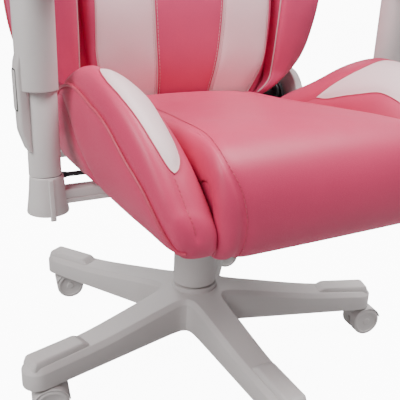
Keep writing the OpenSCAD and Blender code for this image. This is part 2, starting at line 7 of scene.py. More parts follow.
import logging
import math
from dataclasses import dataclass
from enum import Enum
from typing import Any, Callable, Iterable, Sequence

import bmesh
import bpy
import numpy as np
from mathutils import Matrix, Vector
from mathutils.kdtree import KDTree


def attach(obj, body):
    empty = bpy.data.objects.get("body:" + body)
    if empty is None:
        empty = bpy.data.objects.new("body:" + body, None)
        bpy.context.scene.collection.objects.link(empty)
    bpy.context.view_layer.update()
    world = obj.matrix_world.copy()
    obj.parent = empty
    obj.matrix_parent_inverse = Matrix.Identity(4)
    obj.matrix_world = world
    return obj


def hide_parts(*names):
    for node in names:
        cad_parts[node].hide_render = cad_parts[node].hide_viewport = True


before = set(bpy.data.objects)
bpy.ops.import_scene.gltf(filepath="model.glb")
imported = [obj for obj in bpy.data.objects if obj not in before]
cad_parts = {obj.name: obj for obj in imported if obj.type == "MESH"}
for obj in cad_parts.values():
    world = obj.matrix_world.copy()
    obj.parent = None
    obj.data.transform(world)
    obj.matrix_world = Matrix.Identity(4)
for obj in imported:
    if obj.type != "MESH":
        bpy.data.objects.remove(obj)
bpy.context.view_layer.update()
log = logging.getLogger("chair")

MM = 0.001
SIDES = {"left": 1, "right": -1}
FULL_TURN = 2 * math.pi
ALL_SMOOTH = 180
END_TURNS = (15, 30, 45, 60, 74, 86)

Table = Sequence[Sequence[float]]
Socket = bpy.types.NodeSocket
Object = bpy.types.Object


# ---------------------------------------------------------------- curves and meshes


def smooth_row(table: Table, station: float) -> np.ndarray:
    """Reads a table on a smooth curve through its rows.

    Args:
        table: Rows of [station, value, value ...], in rising order of station.
        station: Where to read it.

    Returns:
        The values of all columns after the first.
    """
    rows = np.asarray(table, float)
    last = len(rows) - 1
    i = int(np.clip(np.searchsorted(rows[:, 0], station, side="right") - 1, 0, last - 1))

    def slope(k: int) -> np.ndarray:
        """Slope of the values at row k."""
        a, b = max(k - 1, 0), min(k + 1, last)
        return (rows[b, 1:] - rows[a, 1:]) / (rows[b, 0] - rows[a, 0])

    h = rows[i + 1, 0] - rows[i, 0]
    t = (station - rows[i, 0]) / h
    start = rows[i, 1:] * (2 * t**3 - 3 * t**2 + 1) + slope(i) * h * (t**3 - 2 * t**2 + t)
    end = rows[i + 1, 1:] * (3 * t**2 - 2 * t**3) + slope(i + 1) * h * (t**3 - t**2)
    return start + end


def smooth_line(points: Iterable[Sequence[float]], count: int, closed: bool = False) -> np.ndarray:
    """Runs a smooth curve through points and spaces new points evenly along it.

    Args:
        points: The points to pass through, in any number of dimensions.
        count: How many points to return.
        closed: Whether the curve returns to its first point.

    Returns:
        An array of count points.
    """
    given = np.asarray(list(points), float)
    if closed:
        given = np.vstack([given, given[:1]])
    chord = np.r_[0, np.cumsum(np.linalg.norm(np.diff(given, axis=0), axis=1))]
    rows = np.column_stack([chord, given])
    fine = np.array([smooth_row(rows, s) for s in np.linspace(0, chord[-1], 12 * len(given))])
    along = np.r_[0, np.cumsum(np.linalg.norm(np.diff(fine, axis=0), axis=1))]
    wanted = np.linspace(0, along[-1], count + 1 if closed else count)[:count]
    return np.column_stack([np.interp(wanted, along, fine[:, c]) for c in range(fine.shape[1])])


def grid_faces(rows: int, columns: int, around: bool = True, start: int = 0) -> list[tuple[int, ...]]:
    """Faces of a grid of points.

    Args:
        rows: Number of rows.
        columns: Number of points in a row.
        around: Whether each row closes on itself.
        start: Index of the grid's first point.

    Returns:
        Four-cornered faces.
    """
    span = columns if around else columns - 1
    return [
        (
            start + j * columns + i,
            start + j * columns + (i + 1) % columns,
            start + (j + 1) * columns + (i + 1) % columns,
            start + (j + 1) * columns + i,
        )
        for j in range(rows - 1)
        for i in range(span)
    ]


class Shape:
    """A mesh in the making, in millimetres."""

    def __init__(self) -> None:
        """Starts empty."""
        self.points: list[Sequence[float]] = []
        self.faces: list[tuple[int, ...]] = []

    def grid(self, rows: np.ndarray, around: bool = True, capped: bool = True) -> "Shape":
        """Adds a skin over rows of points.

        Args:
            rows: Array of rows by points by three.
            around: Whether each row closes on itself.
            capped: Whether the first and last rows are closed with one face each.

        Returns:
            This shape.
        """
        rows = np.asarray(rows, float)
        count, columns = rows.shape[:2]
        start = len(self.points)
        self.points.extend(rows.reshape(-1, 3))
        self.faces.extend(grid_faces(count, columns, around, start))
        if capped and around:
            self.faces.append(tuple(start + i for i in reversed(range(columns))))
            self.faces.append(tuple(start + (count - 1) * columns + i for i in range(columns)))
        return self

    def lathe(self, profile: Table, centre: Sequence[float] = (0, 0), sides: int = 64) -> "Shape":
        """Adds a turned body.

        Args:
            profile: Points [radius, height] from one end of the axis to the other.
            centre: The axis in plan.
            sides: How many sides it has.

        Returns:
            This shape.
        """
        return self.grid(np.array([at_height(circle(sides) * max(r, 0.01) + centre, z) for r, z in profile]))

    def lathe_ring(self, profile: Table, centre: Sequence[float] = (0, 0), sides: int = 72) -> "Shape":
        """Adds a turned ring, whose profile closes on itself.

        Args:
            profile: Points [radius, height] round its wall.
            centre: The axis in plan.
            sides: How many sides it has.

        Returns:
            This shape.
        """
        angles = np.linspace(0, FULL_TURN, sides, endpoint=False)
        rows = [
            [(centre[0] + r * math.cos(a), centre[1] + r * math.sin(a), z) for r, z in profile]
            for a in angles
        ]
        return self.grid(np.array(rows + rows[:1]), capped=False)

    def tube(self, path: np.ndarray, radius: float, sides: int = 8, closed: bool = False) -> "Shape":
        """Adds a round cord along a path, with rounded ends.

        Args:
            path: Points along its middle.
            radius: Its radius.
            sides: How many sides it has.
            closed: Whether the path returns to its start.

        Returns:
            This shape.
        """
        path = np.asarray(path, float)
        ahead = np.roll(path, -1, axis=0) - np.roll(path, 1, axis=0)
        if not closed:
            ahead[0], ahead[-1] = path[1] - path[0], path[-1] - path[-2]
        ahead /= np.linalg.norm(ahead, axis=1, keepdims=True)
        across = np.cross(ahead[0], (0.31, 0.17, 0.93))
        rows = []
        for point, direction in zip(path, ahead):
            across = across - direction * float(across @ direction)
            across = across / np.linalg.norm(across)
            beside = np.cross(direction, across)
            turn = np.linspace(0, FULL_TURN, sides, endpoint=False)[:, None]
            rows.append(point + radius * (np.cos(turn) * across + np.sin(turn) * beside))
        if closed:
            rows.append(rows[0])
            return self.grid(np.array(rows), capped=False)
        first, last = rows[0], rows[-1]
        ends = [path[0] + (first - path[0]) * 0.5 - ahead[0] * radius * 0.7]
        tips = [path[-1] + (last - path[-1]) * 0.5 + ahead[-1] * radius * 0.7]
        return self.grid(np.array(ends + rows + tips))

    def plate(self, outline: Sequence[Sequence[float]], low: float, high: float, edge: float) -> "Shape":
        """Adds a flat plate with rounded edges, its outline in plan.

        Args:
            outline: Points [x, y] round it.
            low: Height of its underside.
            high: Height of its top.
            edge: Radius of the rounded edges.

        Returns:
            This shape.
        """
        flat = np.asarray(outline, float)
        rows = []
        for z, inset in rounded_heights(low, high, edge):
            rows.append(at_height(inset_outline(flat, inset), z))
        return self.grid(np.array(rows))

    def moved(self, matrix: Matrix) -> "Shape":
        """Moves every point by a matrix, in millimetres."""
        self.points = [tuple(matrix @ Vector(p)) for p in self.points]
        return self

    def mirrored(self, side: int) -> "Shape":
        """Puts a shape drawn on the left on the given side, 1 or -1."""
        if side < 0:
            self.points = [(-p[0], p[1], p[2]) for p in self.points]
            self.faces = [tuple(reversed(f)) for f in self.faces]
        return self

    def merged(self, other: "Shape") -> "Shape":
        """Takes in the points and faces of another shape."""
        start = len(self.points)
        self.points.extend(other.points)
        self.faces.extend(tuple(start + i for i in f) for f in other.faces)
        return self

    def piece(self, name: str, material: bpy.types.Material, smooth: float = 40) -> Object:
        """Makes the Blender object.

        Args:
            name: The piece's name.
            material: Its finish.
            smooth: Edges that turn by more than this many degrees stay sharp.

        Returns:
            The new object, in metres.
        """
        mesh = bpy.data.meshes.new(name)
        mesh.from_pydata([tuple(float(c) * MM for c in p) for p in self.points], [], self.faces)
        mesh.validate()
        mesh.materials.append(material)
        mesh.polygons.foreach_set("use_smooth", [True] * len(mesh.polygons))
        mesh.update()
        outward(mesh)
        mesh.set_sharp_from_angle(angle=math.radians(smooth))
        made = bpy.data.objects.new(name, mesh)
        bpy.context.scene.collection.objects.link(made)
        return made


def outward(mesh: bpy.types.Mesh) -> None:
    """Turns every face of a mesh to face outwards."""
    work = bmesh.new()
    work.from_mesh(mesh)
    bmesh.ops.recalc_face_normals(work, faces=work.faces)
    work.to_mesh(mesh)
    work.free()


def rounded_heights(low: float, high: float, edge: float, steps: int = 3) -> list[tuple[float, float]]:
    """Heights and insets that round both edges of a plate, from its bottom to its top."""
    turns = [math.pi / 2 * i / steps for i in range(steps + 1)]
    bottom = [(low + edge * (1 - math.sin(t)), edge * (1 - math.cos(t))) for t in reversed(turns)]
    top = [(high - edge * (1 - math.sin(t)), edge * (1 - math.cos(t))) for t in turns]
    return bottom + top


def inset_outline(outline: np.ndarray, inset: float) -> np.ndarray:
    """Moves each point of a closed outline inwards, square to the outline.

    Args:
        outline: Points [x, y], running anticlockwise.
        inset: How far to move them.

    Returns:
        The moved points.
    """
    along = np.roll(outline, -1, axis=0) - np.roll(outline, 1, axis=0)
    along /= np.linalg.norm(along, axis=1, keepdims=True)
    return outline + inset * np.column_stack([-along[:, 1], along[:, 0]])


def rounded_box(half_x: float, half_y: float, corner: float, steps: int = 5) -> np.ndarray:
    """Outline of a box with round corners, anticlockwise from its +X side."""
    points = []
    for k, (sx, sy) in enumerate(((1, 1), (-1, 1), (-1, -1), (1, -1))):
        for i in range(steps + 1):
            a = math.pi / 2 * (k + i / steps)
            points.append(
                (sx * (half_x - corner) + corner * math.cos(a), sy * (half_y - corner) + corner * math.sin(a))
            )
    return np.array(points)


def capsule(
    start: Sequence[float], end: Sequence[float], r1: float, r2: float, steps: int = 14
) -> np.ndarray:
    """Outline round two circles, as a belt lies round two pulleys, anticlockwise."""
    a, b = np.asarray(start, float), np.asarray(end, float)
    distance = float(np.linalg.norm(b - a))
    heading = math.atan2(*(b - a)[::-1])
    spread = math.acos((r1 - r2) / distance)
    points = []
    for centre, radius, low, high in (
        (b, r2, heading - spread, heading + spread),
        (a, r1, heading + spread, heading + 2 * math.pi - spread),
    ):
        for t in np.linspace(low, high, steps):
            points.append(centre + radius * np.array([math.cos(t), math.sin(t)]))
    return np.array(points)


def circle(sides: int) -> np.ndarray:
    """Points of a circle of radius 1, anticlockwise."""
    return np.array([(math.cos(a), math.sin(a)) for a in np.linspace(0, FULL_TURN, sides, endpoint=False)])


def squared_circle(sides: int, power: float) -> tuple[np.ndarray, np.ndarray]:
    """Shares across and along of a circle pushed towards a square, the lower the power the squarer."""
    turn = np.linspace(0, FULL_TURN, sides, endpoint=False)
    across = np.sign(np.cos(turn)) * np.abs(np.cos(turn)) ** power
    along = np.sign(np.sin(turn)) * np.abs(np.sin(turn)) ** power
    return across, along


def at_height(flat: np.ndarray, z: float) -> np.ndarray:
    """Lifts a plan outline to a height."""
    return np.column_stack([flat, np.full(len(flat), z)])


# From plan and thickness to an upright plate: square to X, or square to Y.
SIDEWAYS = Matrix(((0, 0, 1, 0), (1, 0, 0, 0), (0, 1, 0, 0), (0, 0, 0, 1)))
FACING = Matrix(((1, 0, 0, 0), (0, 0, 1, 0), (0, 1, 0, 0), (0, 0, 0, 1)))


# ---------------------------------------------------------------- shader groups


class Wiring:
    """Adds and joins the nodes of one shader tree."""

    def __init__(self, tree: bpy.types.NodeTree) -> None:
        """Works on the given tree."""
        self.tree = tree

    def node(self, kind: str, feeds: dict[Any, Any] | None = None, **settings: Any) -> bpy.types.Node:
        """Adds a node.

        Args:
            kind: Its Blender type.
            feeds: Sockets or plain values for its inputs, by name or index.
            **settings: Properties to set on it.

        Returns:
            The node.
        """
        made = self.tree.nodes.new(kind)
        for key, value in settings.items():
            setattr(made, key, value)
        for key, value in (feeds or {}).items():
            self.feed(made.inputs[key], value)
        return made

    def feed(self, target: Socket, value: Any) -> None:
        """Joins a socket to an input, or sets the input's own value."""
        if isinstance(value, Socket):
            self.tree.links.new(value, target)
        else:
            target.default_value = value

    def math(self, operation: str, a: Any, b: Any = 0.0) -> Socket:
        """A Math node's result."""
        return self.node("ShaderNodeMath", {0: a, 1: b}, operation=operation).outputs[0]

    def spread(self, value: Any, low: float, high: float, out_low: float, out_high: float) -> Socket:
        """A value brought from one range to another."""
        feeds = {"Value": value, "From Min": low, "From Max": high, "To Min": out_low, "To Max": out_high}
        return self.node("ShaderNodeMapRange", feeds).outputs["Result"]

    def mix(self, factor: Any, a: Any, b: Any, mode: str = "MIX") -> Socket:
        """Two colours mixed."""
        made = self.node("ShaderNodeMix", data_type="RGBA", blend_type=mode)
        for index, value in ((0, factor), (6, a), (7, b)):
            self.feed(made.inputs[index], value)
        return made.outputs[2]

    def place(self, scale: Any, stretch: Sequence[float] = (1, 1, 1)) -> Socket:
        """Coordinates fixed to the piece, scaled."""
        spot = self.node("ShaderNodeTexCoord").outputs["Object"]
        wide = self.node(
            "ShaderNodeVectorMath", {0: spot, 1: tuple(stretch)}, operation="MULTIPLY"
        ).outputs[0]
        return self.node("ShaderNodeVectorMath", {0: wide, "Scale": scale}, operation="SCALE").outputs[0]

    def noise(self, where: Socket, scale: float, detail: float = 3.0) -> Socket:
        """A noise value from 0 to 1."""
        feeds = {"Vector": where, "Scale": scale, "Detail": detail}
        return self.node("ShaderNodeTexNoise", feeds).outputs["Fac"]


def shader_group(
    name: str,
    inputs: dict[str, Any],
    outputs: dict[str, str],
    build: Callable[[Wiring, bpy.types.Node], dict[str, Socket]],
) -> bpy.types.NodeTree:
    """Builds a named shader group.

    Args:
        name: The group's name.
        inputs: Each input's default: a number, or four numbers for a colour.
        outputs: Each output's socket type, Float or Color.
        build: Makes the nodes from the group's input node and returns a socket per output.

    Returns:
        The group's tree.
    """
    tree = bpy.data.node_groups.new(name, "ShaderNodeTree")
    for label, default in inputs.items():
        kind = "Color" if isinstance(default, tuple) else "Float"
        made = tree.interface.new_socket(label, in_out="INPUT", socket_type=f"NodeSocket{kind}")
        made.default_value = default
    for label, kind in outputs.items():
        tree.interface.new_socket(label, in_out="OUTPUT", socket_type=f"NodeSocket{kind}")
    wiring = Wiring(tree)
    given, result = wiring.node("NodeGroupInput"), wiring.node("NodeGroupOutput")
    for label, socket in build(wiring, given).items():
        wiring.feed(result.inputs[label], socket)
    return tree


class Effects:
    """The shader groups that the finishes share."""

    def __init__(self) -> None:
        """Builds each group once."""
        self.grain = shader_group(
            "leather_grain",
            {"Scale": 1.0, "Wrinkle": 0.3},
            {"Height": "Float", "Valley Shade": "Float"},
            self._grain,
        )
        self.tone = shader_group(
            "tone_and_wear",
            {"Base": (0.5, 0.5, 0.5, 1.0), "Worn": (0.6, 0.6, 0.6, 1.0), "Patch": 0.1, "Edge": 0.3,
             "Dust": 0.1},
            {"Colour": "Color", "Roughening": "Float"},
            self._tone,
        )
        self.moulded = shader_group(
            "moulded_skin", {"Scale": 1.0}, {"Height": "Float", "Mottle": "Float"}, self._moulded
        )
        self.weave = shader_group(
            "woven_band", {"Pitch": 900.0}, {"Height": "Float", "Gap Shade": "Float"}, self._weave
        )
        self.brushed = shader_group(
            "ground_metal", {"Scale": 1.0}, {"Height": "Float", "Streak": "Float"}, self._brushed
        )

    @staticmethod
    def _grain(w: Wiring, given: bpy.types.Node) -> dict[str, Socket]:
        """Pebbled coated leather with fine creases; the second output marks the valleys between pebbles,
        where the finishes paint shade into the colour.
        """
        where = w.place(given.outputs["Scale"])
        bent = w.node("ShaderNodeTexNoise", {"Vector": where, "Scale": 90.0, "Detail": 2.0}).outputs["Color"]
        off = w.node("ShaderNodeVectorMath", {0: bent, "Scale": 0.004}, operation="SCALE").outputs[0]
        spot = w.node("ShaderNodeVectorMath", {0: where, 1: off}, operation="ADD").outputs[0]
        cells = w.node("ShaderNodeTexVoronoi", {"Vector": spot, "Scale": 620.0}, feature="DISTANCE_TO_EDGE")
        pebble = w.spread(cells.outputs["Distance"], 0.0, 0.28, 0.0, 1.0)
        fold = w.spread(w.noise(where, 34.0, 5.0), 0.3, 0.7, 0.0, 1.0)
        crease = w.math("MULTIPLY", fold, given.outputs["Wrinkle"])
        fine = w.math("MULTIPLY", w.noise(where, 1500.0, 2.0), 0.25)
        height = w.math("ADD", w.math("ADD", w.math("MULTIPLY", pebble, 0.5), fine), crease)
        return {"Height": height, "Valley Shade": w.spread(pebble, 0.0, 1.0, 1.0, 0.0)}

    @staticmethod
    def _tone(w: Wiring, given: bpy.types.Node) -> dict[str, Socket]:
        """Slow patches of colour, lighter worn edges, and a little dust on what faces up."""
        where = w.place(1.0)
        patch = w.spread(w.noise(where, 7.0, 4.0), 0.3, 0.7, -0.5, 0.5)
        gain = w.math("ADD", w.math("MULTIPLY", patch, given.outputs["Patch"]), 1.0)
        grey = w.node("ShaderNodeCombineColor", {0: gain, 1: gain, 2: gain}).outputs[0]
        toned = w.mix(1.0, given.outputs["Base"], grey, "MULTIPLY")
        shape = w.node("ShaderNodeNewGeometry")
        edge = w.spread(shape.outputs["Pointiness"], 0.53, 0.62, 0.0, 1.0)
        rubbed = w.math("MULTIPLY", edge, w.spread(w.noise(where, 60.0, 4.0), 0.42, 0.6, 0.2, 1.0))
        worn = w.mix(w.math("MULTIPLY", rubbed, given.outputs["Edge"]), toned, given.outputs["Worn"])
        up = w.node("ShaderNodeSeparateXYZ", {0: shape.outputs["Normal"]}).outputs[2]
        lying = w.math(
            "MULTIPLY", w.spread(up, 0.6, 1.0, 0.0, 1.0), w.spread(w.noise(where, 25.0), 0.4, 0.7, 0.0, 1.0)
        )
        dust = w.math("MULTIPLY", lying, given.outputs["Dust"])
        return {
            "Colour": w.mix(dust, worn, (0.6, 0.58, 0.55, 1.0)), "Roughening": w.math("MULTIPLY", dust, 0.4)
        }

    @staticmethod
    def _moulded(w: Wiring, given: bpy.types.Node) -> dict[str, Socket]:
        """The fine eroded texture and slow sink marks of moulded plastic."""
        where = w.place(given.outputs["Scale"])
        fine = w.noise(where, 1800.0, 2.0)
        sink = w.noise(where, 28.0, 2.0)
        return {
            "Height": w.math("ADD", fine, w.math("MULTIPLY", sink, 1.5)), "Mottle": w.noise(where, 210.0, 4.0)
        }

    @staticmethod
    def _weave(w: Wiring, given: bpy.types.Node) -> dict[str, Socket]:
        """Crossing threads of webbing; the second output marks where the threads part, where the finish
        paints shade.
        """
        spot = w.node("ShaderNodeTexCoord").outputs["Object"]
        axes = w.node("ShaderNodeSeparateXYZ", {0: spot})
        side = w.math("ADD", axes.outputs[1], axes.outputs[2])
        warp = w.math(
            "SINE", w.math("MULTIPLY", axes.outputs[0], w.math("MULTIPLY", given.outputs["Pitch"], 2.6))
        )
        weft = w.math("SINE", w.math("MULTIPLY", side, w.math("MULTIPLY", given.outputs["Pitch"], 3.8)))
        both = w.math("MULTIPLY", warp, weft)
        return {"Height": w.spread(both, -1.0, 1.0, 0.0, 1.0), "Gap Shade": w.spread(both, -1.0, -0.4, 1.0, 0.0)}

    @staticmethod
    def _brushed(w: Wiring, given: bpy.types.Node) -> dict[str, Socket]:
        """Fine lines left by grinding."""
        where = w.place(given.outputs["Scale"], (1, 1, 22))
        streak = w.noise(where, 90.0, 4.0)
        return {"Height": streak, "Streak": streak}


class Slot(Enum):
    """Material slots of the record."""

    WHITE = "white_plastic"
    SEAT = "seat_leather"
    BACK = "back_leather"
    CREAM = "cream_leather"
    BLACK_STEEL = "black_steel"
    BRIGHT = "bright_steel"
    BLACK_PLASTIC = "black_plastic"
    ARM_PAD = "arm_pad"
    WEBBING = "webbing"


def toned(
    w: Wiring, effects: Effects, base: Any, worn: Sequence[float], patch: float, edge: float, dust: float
) -> bpy.types.Node:
    """Places the tone group.

    Args:
        w: The material's wiring.
        effects: The shared groups.
        base: The base colour, as four numbers or a socket.
        worn: The colour of rubbed edges, as three numbers.
        patch: How strong the slow patches are.
        edge: How much the edges are rubbed.
        dust: How much dust lies on what faces up.

    Returns:
        The placed group.
    """
    feeds = {"Base": base, "Worn": (*worn, 1.0), "Patch": patch, "Edge": edge, "Dust": dust}
    tone = w.node("ShaderNodeGroup", node_tree=effects.tone)
    for label, value in feeds.items():
        w.feed(tone.inputs[label], value)
    return tone


def join_surface(
    w: Wiring, shader: bpy.types.Node, colour: Socket, rough: Socket | None, height: Socket, relief: tuple[
        float, float
    ]
) -> None:
    """Joins colour, roughness and relief to a shader.

    Args:
        w: The material's wiring.
        shader: The Principled shader.
        colour: The colour's socket.
        rough: The roughness's socket, or None where it is one number.
        height: The relief's socket.
        relief: Depth of the relief in millimetres, and its strength.
    """
    depth, strength = relief
    bump = w.node("ShaderNodeBump", {"Height": height, "Distance": depth * MM, "Strength": strength})
    w.feed(shader.inputs["Base Color"], colour)
    if rough:
        w.feed(shader.inputs["Roughness"], rough)
    w.feed(shader.inputs["Normal"], bump.outputs["Normal"])


@dataclass(frozen=True)
class Leather:
    """Coated leather, with a second colour inside a sewn inset where the piece has one."""

    name: str
    slot: Slot
    colour: tuple[float, float, float]
    inset_colour: tuple[float, float, float] | None = None
    roughness: float = 0.42
    patch: float = 0.08
    wrinkle: float = 0.3
    depth_mm: float = 0.16
    edge: float = 0.2
    dust: float = 0.03

    def material(self, effects: Effects) -> bpy.types.Material:
        """Builds the material."""
        w, shader = new_material(self.name)
        base: Any = (*self.colour, 1.0)
        if self.inset_colour:
            reading = w.node("ShaderNodeAttribute", attribute_name="inset").outputs["Fac"]
            base = w.mix(w.spread(reading, -0.35, 0.35, 0.0, 1.0), base, (*self.inset_colour, 1.0))
        worn = tuple(0.75 * c + 0.25 * 0.9 for c in self.colour)
        tone = toned(w, effects, base, worn, self.patch, self.edge, self.dust)
        grain = w.node("ShaderNodeGroup", {"Wrinkle": self.wrinkle}, node_tree=effects.grain)
        # Painted shade: the colour is dimmed towards a warm brown in the valleys of the grain; the same mask
        # also roughens them.
        valley_shade = w.math("MULTIPLY", grain.outputs["Valley Shade"], 0.12)
        deep = w.mix(1.0, tone.outputs["Colour"], (0.6, 0.5, 0.5, 1.0), "MULTIPLY")
        colour = w.mix(valley_shade, tone.outputs["Colour"], deep)
        rough = w.math("ADD", w.math("ADD", valley_shade, tone.outputs["Roughening"]), self.roughness)
        join_surface(w, shader, colour, rough, grain.outputs["Height"], (self.depth_mm, 0.8))
        shader.inputs["Coat Weight"].default_value = 0.06
        shader.inputs["Coat Roughness"].default_value = 0.35
        shader.inputs["Sheen Weight"].default_value = 0.05
        return bpy.data.materials[self.name]


@dataclass(frozen=True)
class Plastic:
    """Moulded plastic with a fine eroded skin."""

    name: str
    slot: Slot
    colour: tuple[float, float, float]
    roughness: float = 0.5
    skin_mm: float = 0.05
    edge: float = 0.25
    dust: float = 0.05

    def material(self, effects: Effects) -> bpy.types.Material:
        """Builds the material."""
        w, shader = new_material(self.name)
        worn = tuple(min(1.0, c * 1.15 + 0.04) for c in self.colour)
        tone = toned(w, effects, (*self.colour, 1.0), worn, 0.04, self.edge, self.dust)
        skin = w.node("ShaderNodeGroup", node_tree=effects.moulded)
        mottle = w.spread(skin.outputs["Mottle"], 0.3, 0.7, -0.05, 0.07)
        rough = w.math("ADD", w.math("ADD", mottle, tone.outputs["Roughening"]), self.roughness)
        join_surface(w, shader, tone.outputs["Colour"], rough, skin.outputs["Height"], (self.skin_mm, 0.7))
        return bpy.data.materials[self.name]


@dataclass(frozen=True)
class Steel:
    """Bare ground steel, or steel under a powder coat."""

    name: str
    slot: Slot
    colour: tuple[float, float, float]
    coated: bool
    roughness: float = 0.35

    def material(self, effects: Effects) -> bpy.types.Material:
        """Builds the material."""
        w, shader = new_material(self.name)
        worn = (0.35, 0.35, 0.36) if self.coated else (0.8, 0.8, 0.82)
        tone = toned(w, effects, (*self.colour, 1.0), worn, 0.06, 0.35, 0.06)
        surface = effects.moulded if self.coated else effects.brushed
        skin = w.node("ShaderNodeGroup", node_tree=surface)
        streak = w.spread(skin.outputs[1], 0.3, 0.7, -0.06, 0.08)
        rough = w.math("ADD", w.math("ADD", streak, tone.outputs["Roughening"]), self.roughness)
        join_surface(w, shader, tone.outputs["Colour"], rough, skin.outputs["Height"], (0.06, 0.6))
        shader.inputs["Metallic"].default_value = 0.0 if self.coated else 1.0
        return bpy.data.materials[self.name]


@dataclass(frozen=True)
class Webbing:
    """Woven elastic or strap webbing."""

    name: str
    slot: Slot
    colour: tuple[float, float, float]

    def material(self, effects: Effects) -> bpy.types.Material:
        """Builds the material."""
        w, shader = new_material(self.name)
        weave = w.node("ShaderNodeGroup", node_tree=effects.weave)
        # Painted shade: the colour drops to about a third where the threads part.
        painted_shade = tuple(c * 0.35 for c in self.colour)
        colour = w.mix(weave.outputs["Gap Shade"], (*self.colour, 1.0), (*painted_shade, 1.0))
        join_surface(w, shader, colour, None, weave.outputs["Height"], (0.4, 0.9))
        shader.inputs["Roughness"].default_value = 0.85
        shader.inputs["Sheen Weight"].default_value = 0.3
        return bpy.data.materials[self.name]


def new_material(name: str) -> tuple[Wiring, bpy.types.Node]:
    """Starts a material with one Principled shader.

    Args:
        name: The material's name.

    Returns:
        The wiring of its tree, and the shader node.
    """
    made = bpy.data.materials.new(name)
    made.use_nodes = True
    made.node_tree.nodes.clear()
    wiring = Wiring(made.node_tree)
    shader = wiring.node("ShaderNodeBsdfPrincipled")
    wiring.node("ShaderNodeOutputMaterial", {"Surface": shader.outputs["BSDF"]})
    return wiring, shader


ROSE = (0.61, 0.036, 0.118)
DEEP_ROSE = (0.68, 0.065, 0.18)
CREAM = (0.95, 0.71, 0.735)


class Finishes:
    """Every finish of the chair, as built materials and their record slots."""

    def __init__(self) -> None:
        """Builds all materials."""
        effects = Effects()
        kinds = (
            Leather("rose_leather", Slot.SEAT, ROSE),
            Leather("rose_leather_with_inset", Slot.SEAT, ROSE, CREAM),
            Leather("deep_rose_leather", Slot.BACK, DEEP_ROSE),
            Leather("striped_leather", Slot.CREAM, DEEP_ROSE, CREAM),
            Leather("cream_leather", Slot.CREAM, CREAM),
            Leather("cream_piping", Slot.CREAM, (0.74, 0.50, 0.52), wrinkle=0.0),
            Leather("rose_piping", Slot.SEAT, (0.52, 0.035, 0.09), wrinkle=0.0),
            Leather("deep_rose_piping", Slot.BACK, (0.60, 0.06, 0.11), wrinkle=0.0),
            Plastic("white_nylon", Slot.WHITE, (0.64, 0.60, 0.59)),
            Plastic("black_nylon", Slot.BLACK_PLASTIC, (0.022, 0.022, 0.024), 0.48),
            Plastic("soft_arm_skin", Slot.ARM_PAD, (0.62, 0.6, 0.59), 0.55, 0.09),
            # Near-black finish for painted shade: plates and rings of it sit in gaps and seams; it takes the
            # black plastic slot.
            Plastic("shadow_gap", Slot.BLACK_PLASTIC, (0.01, 0.01, 0.01), 0.8),
            Steel("black_steel", Slot.BLACK_STEEL, (0.016, 0.016, 0.018), True, 0.45),
            Steel("bright_steel", Slot.BRIGHT, (0.56, 0.57, 0.58), False),
            Webbing("elastic_webbing", Slot.WEBBING, (0.03, 0.03, 0.033)),
        )
        self.made = {kind.name: kind.material(effects) for kind in kinds}
        self.slots = {kind.name: kind.slot for kind in kinds}

    def __getitem__(self, name: str) -> bpy.types.Material:
        """The material of that name."""
        return self.made[name]


# ---------------------------------------------------------------- placing pieces


class Workshop:
    """Sets pieces on their bodies and dresses the CAD nodes."""

    def __init__(self, finishes: Finishes) -> None:
        """Keeps the finishes at hand."""
        self.finishes = finishes

    def fit(self, piece: Object, body: str, replaces: Sequence[str] = ()) -> Object:
        """Puts a piece on its body.

        Args:
            piece: The piece, in place.
            body: The CAD body that it rides on.
            replaces: CAD nodes that it stands for.

        Returns:
            The piece.
        """
        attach(piece, body)
        if replaces:
            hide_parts(*replaces)
        log.info("%s rides on %s", piece.name, body)
        return piece

    def add(
        self, shape: Shape, name: str, finish: str, body: str, replaces: Sequence[str] = (),
        smooth: float = 40,
    ) -> Object:
        """Makes a piece from a shape and puts it on its body.

        Args:
            shape: The piece's shape, in place.
            name: The piece's name.
            finish: Name of its finish.
            body: The CAD body that it rides on.
            replaces: CAD nodes that it stands for.
            smooth: Edges that turn by more than this many degrees stay sharp.

        Returns:
            The piece.
        """
        return self.fit(shape.piece(name, self.finishes[finish], smooth), body, replaces)

    def dress(self, node: str, finish: str, edge_mm: float = 0.0) -> None:
        """Gives a CAD node its finish and, where asked, rounded edges.

        Args:
            node: The CAD node.
            finish: Name of the finish.
            edge_mm: Radius of the rounded edges, or 0 to leave them.
        """
        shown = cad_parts[node]
        shown.data.materials.clear()
        shown.data.materials.append(self.finishes[finish])
        if edge_mm:
            add_edges(shown, edge_mm)
        log.info("%s is dressed in %s", node, finish)


def add_edges(shown: Object, edge_mm: float) -> None:
    """Adds modifiers that join a mesh's faces and round its edges."""
    weld = shown.modifiers.new("weld", "WELD")
    weld.merge_threshold = 0.00002
    flat = shown.modifiers.new("flat", "DECIMATE")
    flat.decimate_type = "DISSOLVE"
    flat.angle_limit = math.radians(2)
    edge = shown.modifiers.new("edge", "BEVEL")
    edge.width = edge_mm * MM
    edge.segments = 2
    edge.limit_method = "ANGLE"
    edge.angle_limit = math.radians(35)
    edge.use_clamp_overlap = True


def refine(piece: Object, levels: int = 1) -> Object:
    """Adds a smooth subdivision to a piece."""
    finer = piece.modifiers.new("finer", "SUBSURF")
    finer.levels = finer.render_levels = levels
    return piece


# ---------------------------------------------------------------- sewn and stuffed forms


@dataclass(frozen=True)
class Stuffing:
    """How covers are blown up: cloth settings, and the distance from a seam at which they move freely."""

    steps: int = 16
    tension: float = 20
    bending: float = 1.5
    free_from: float = 16


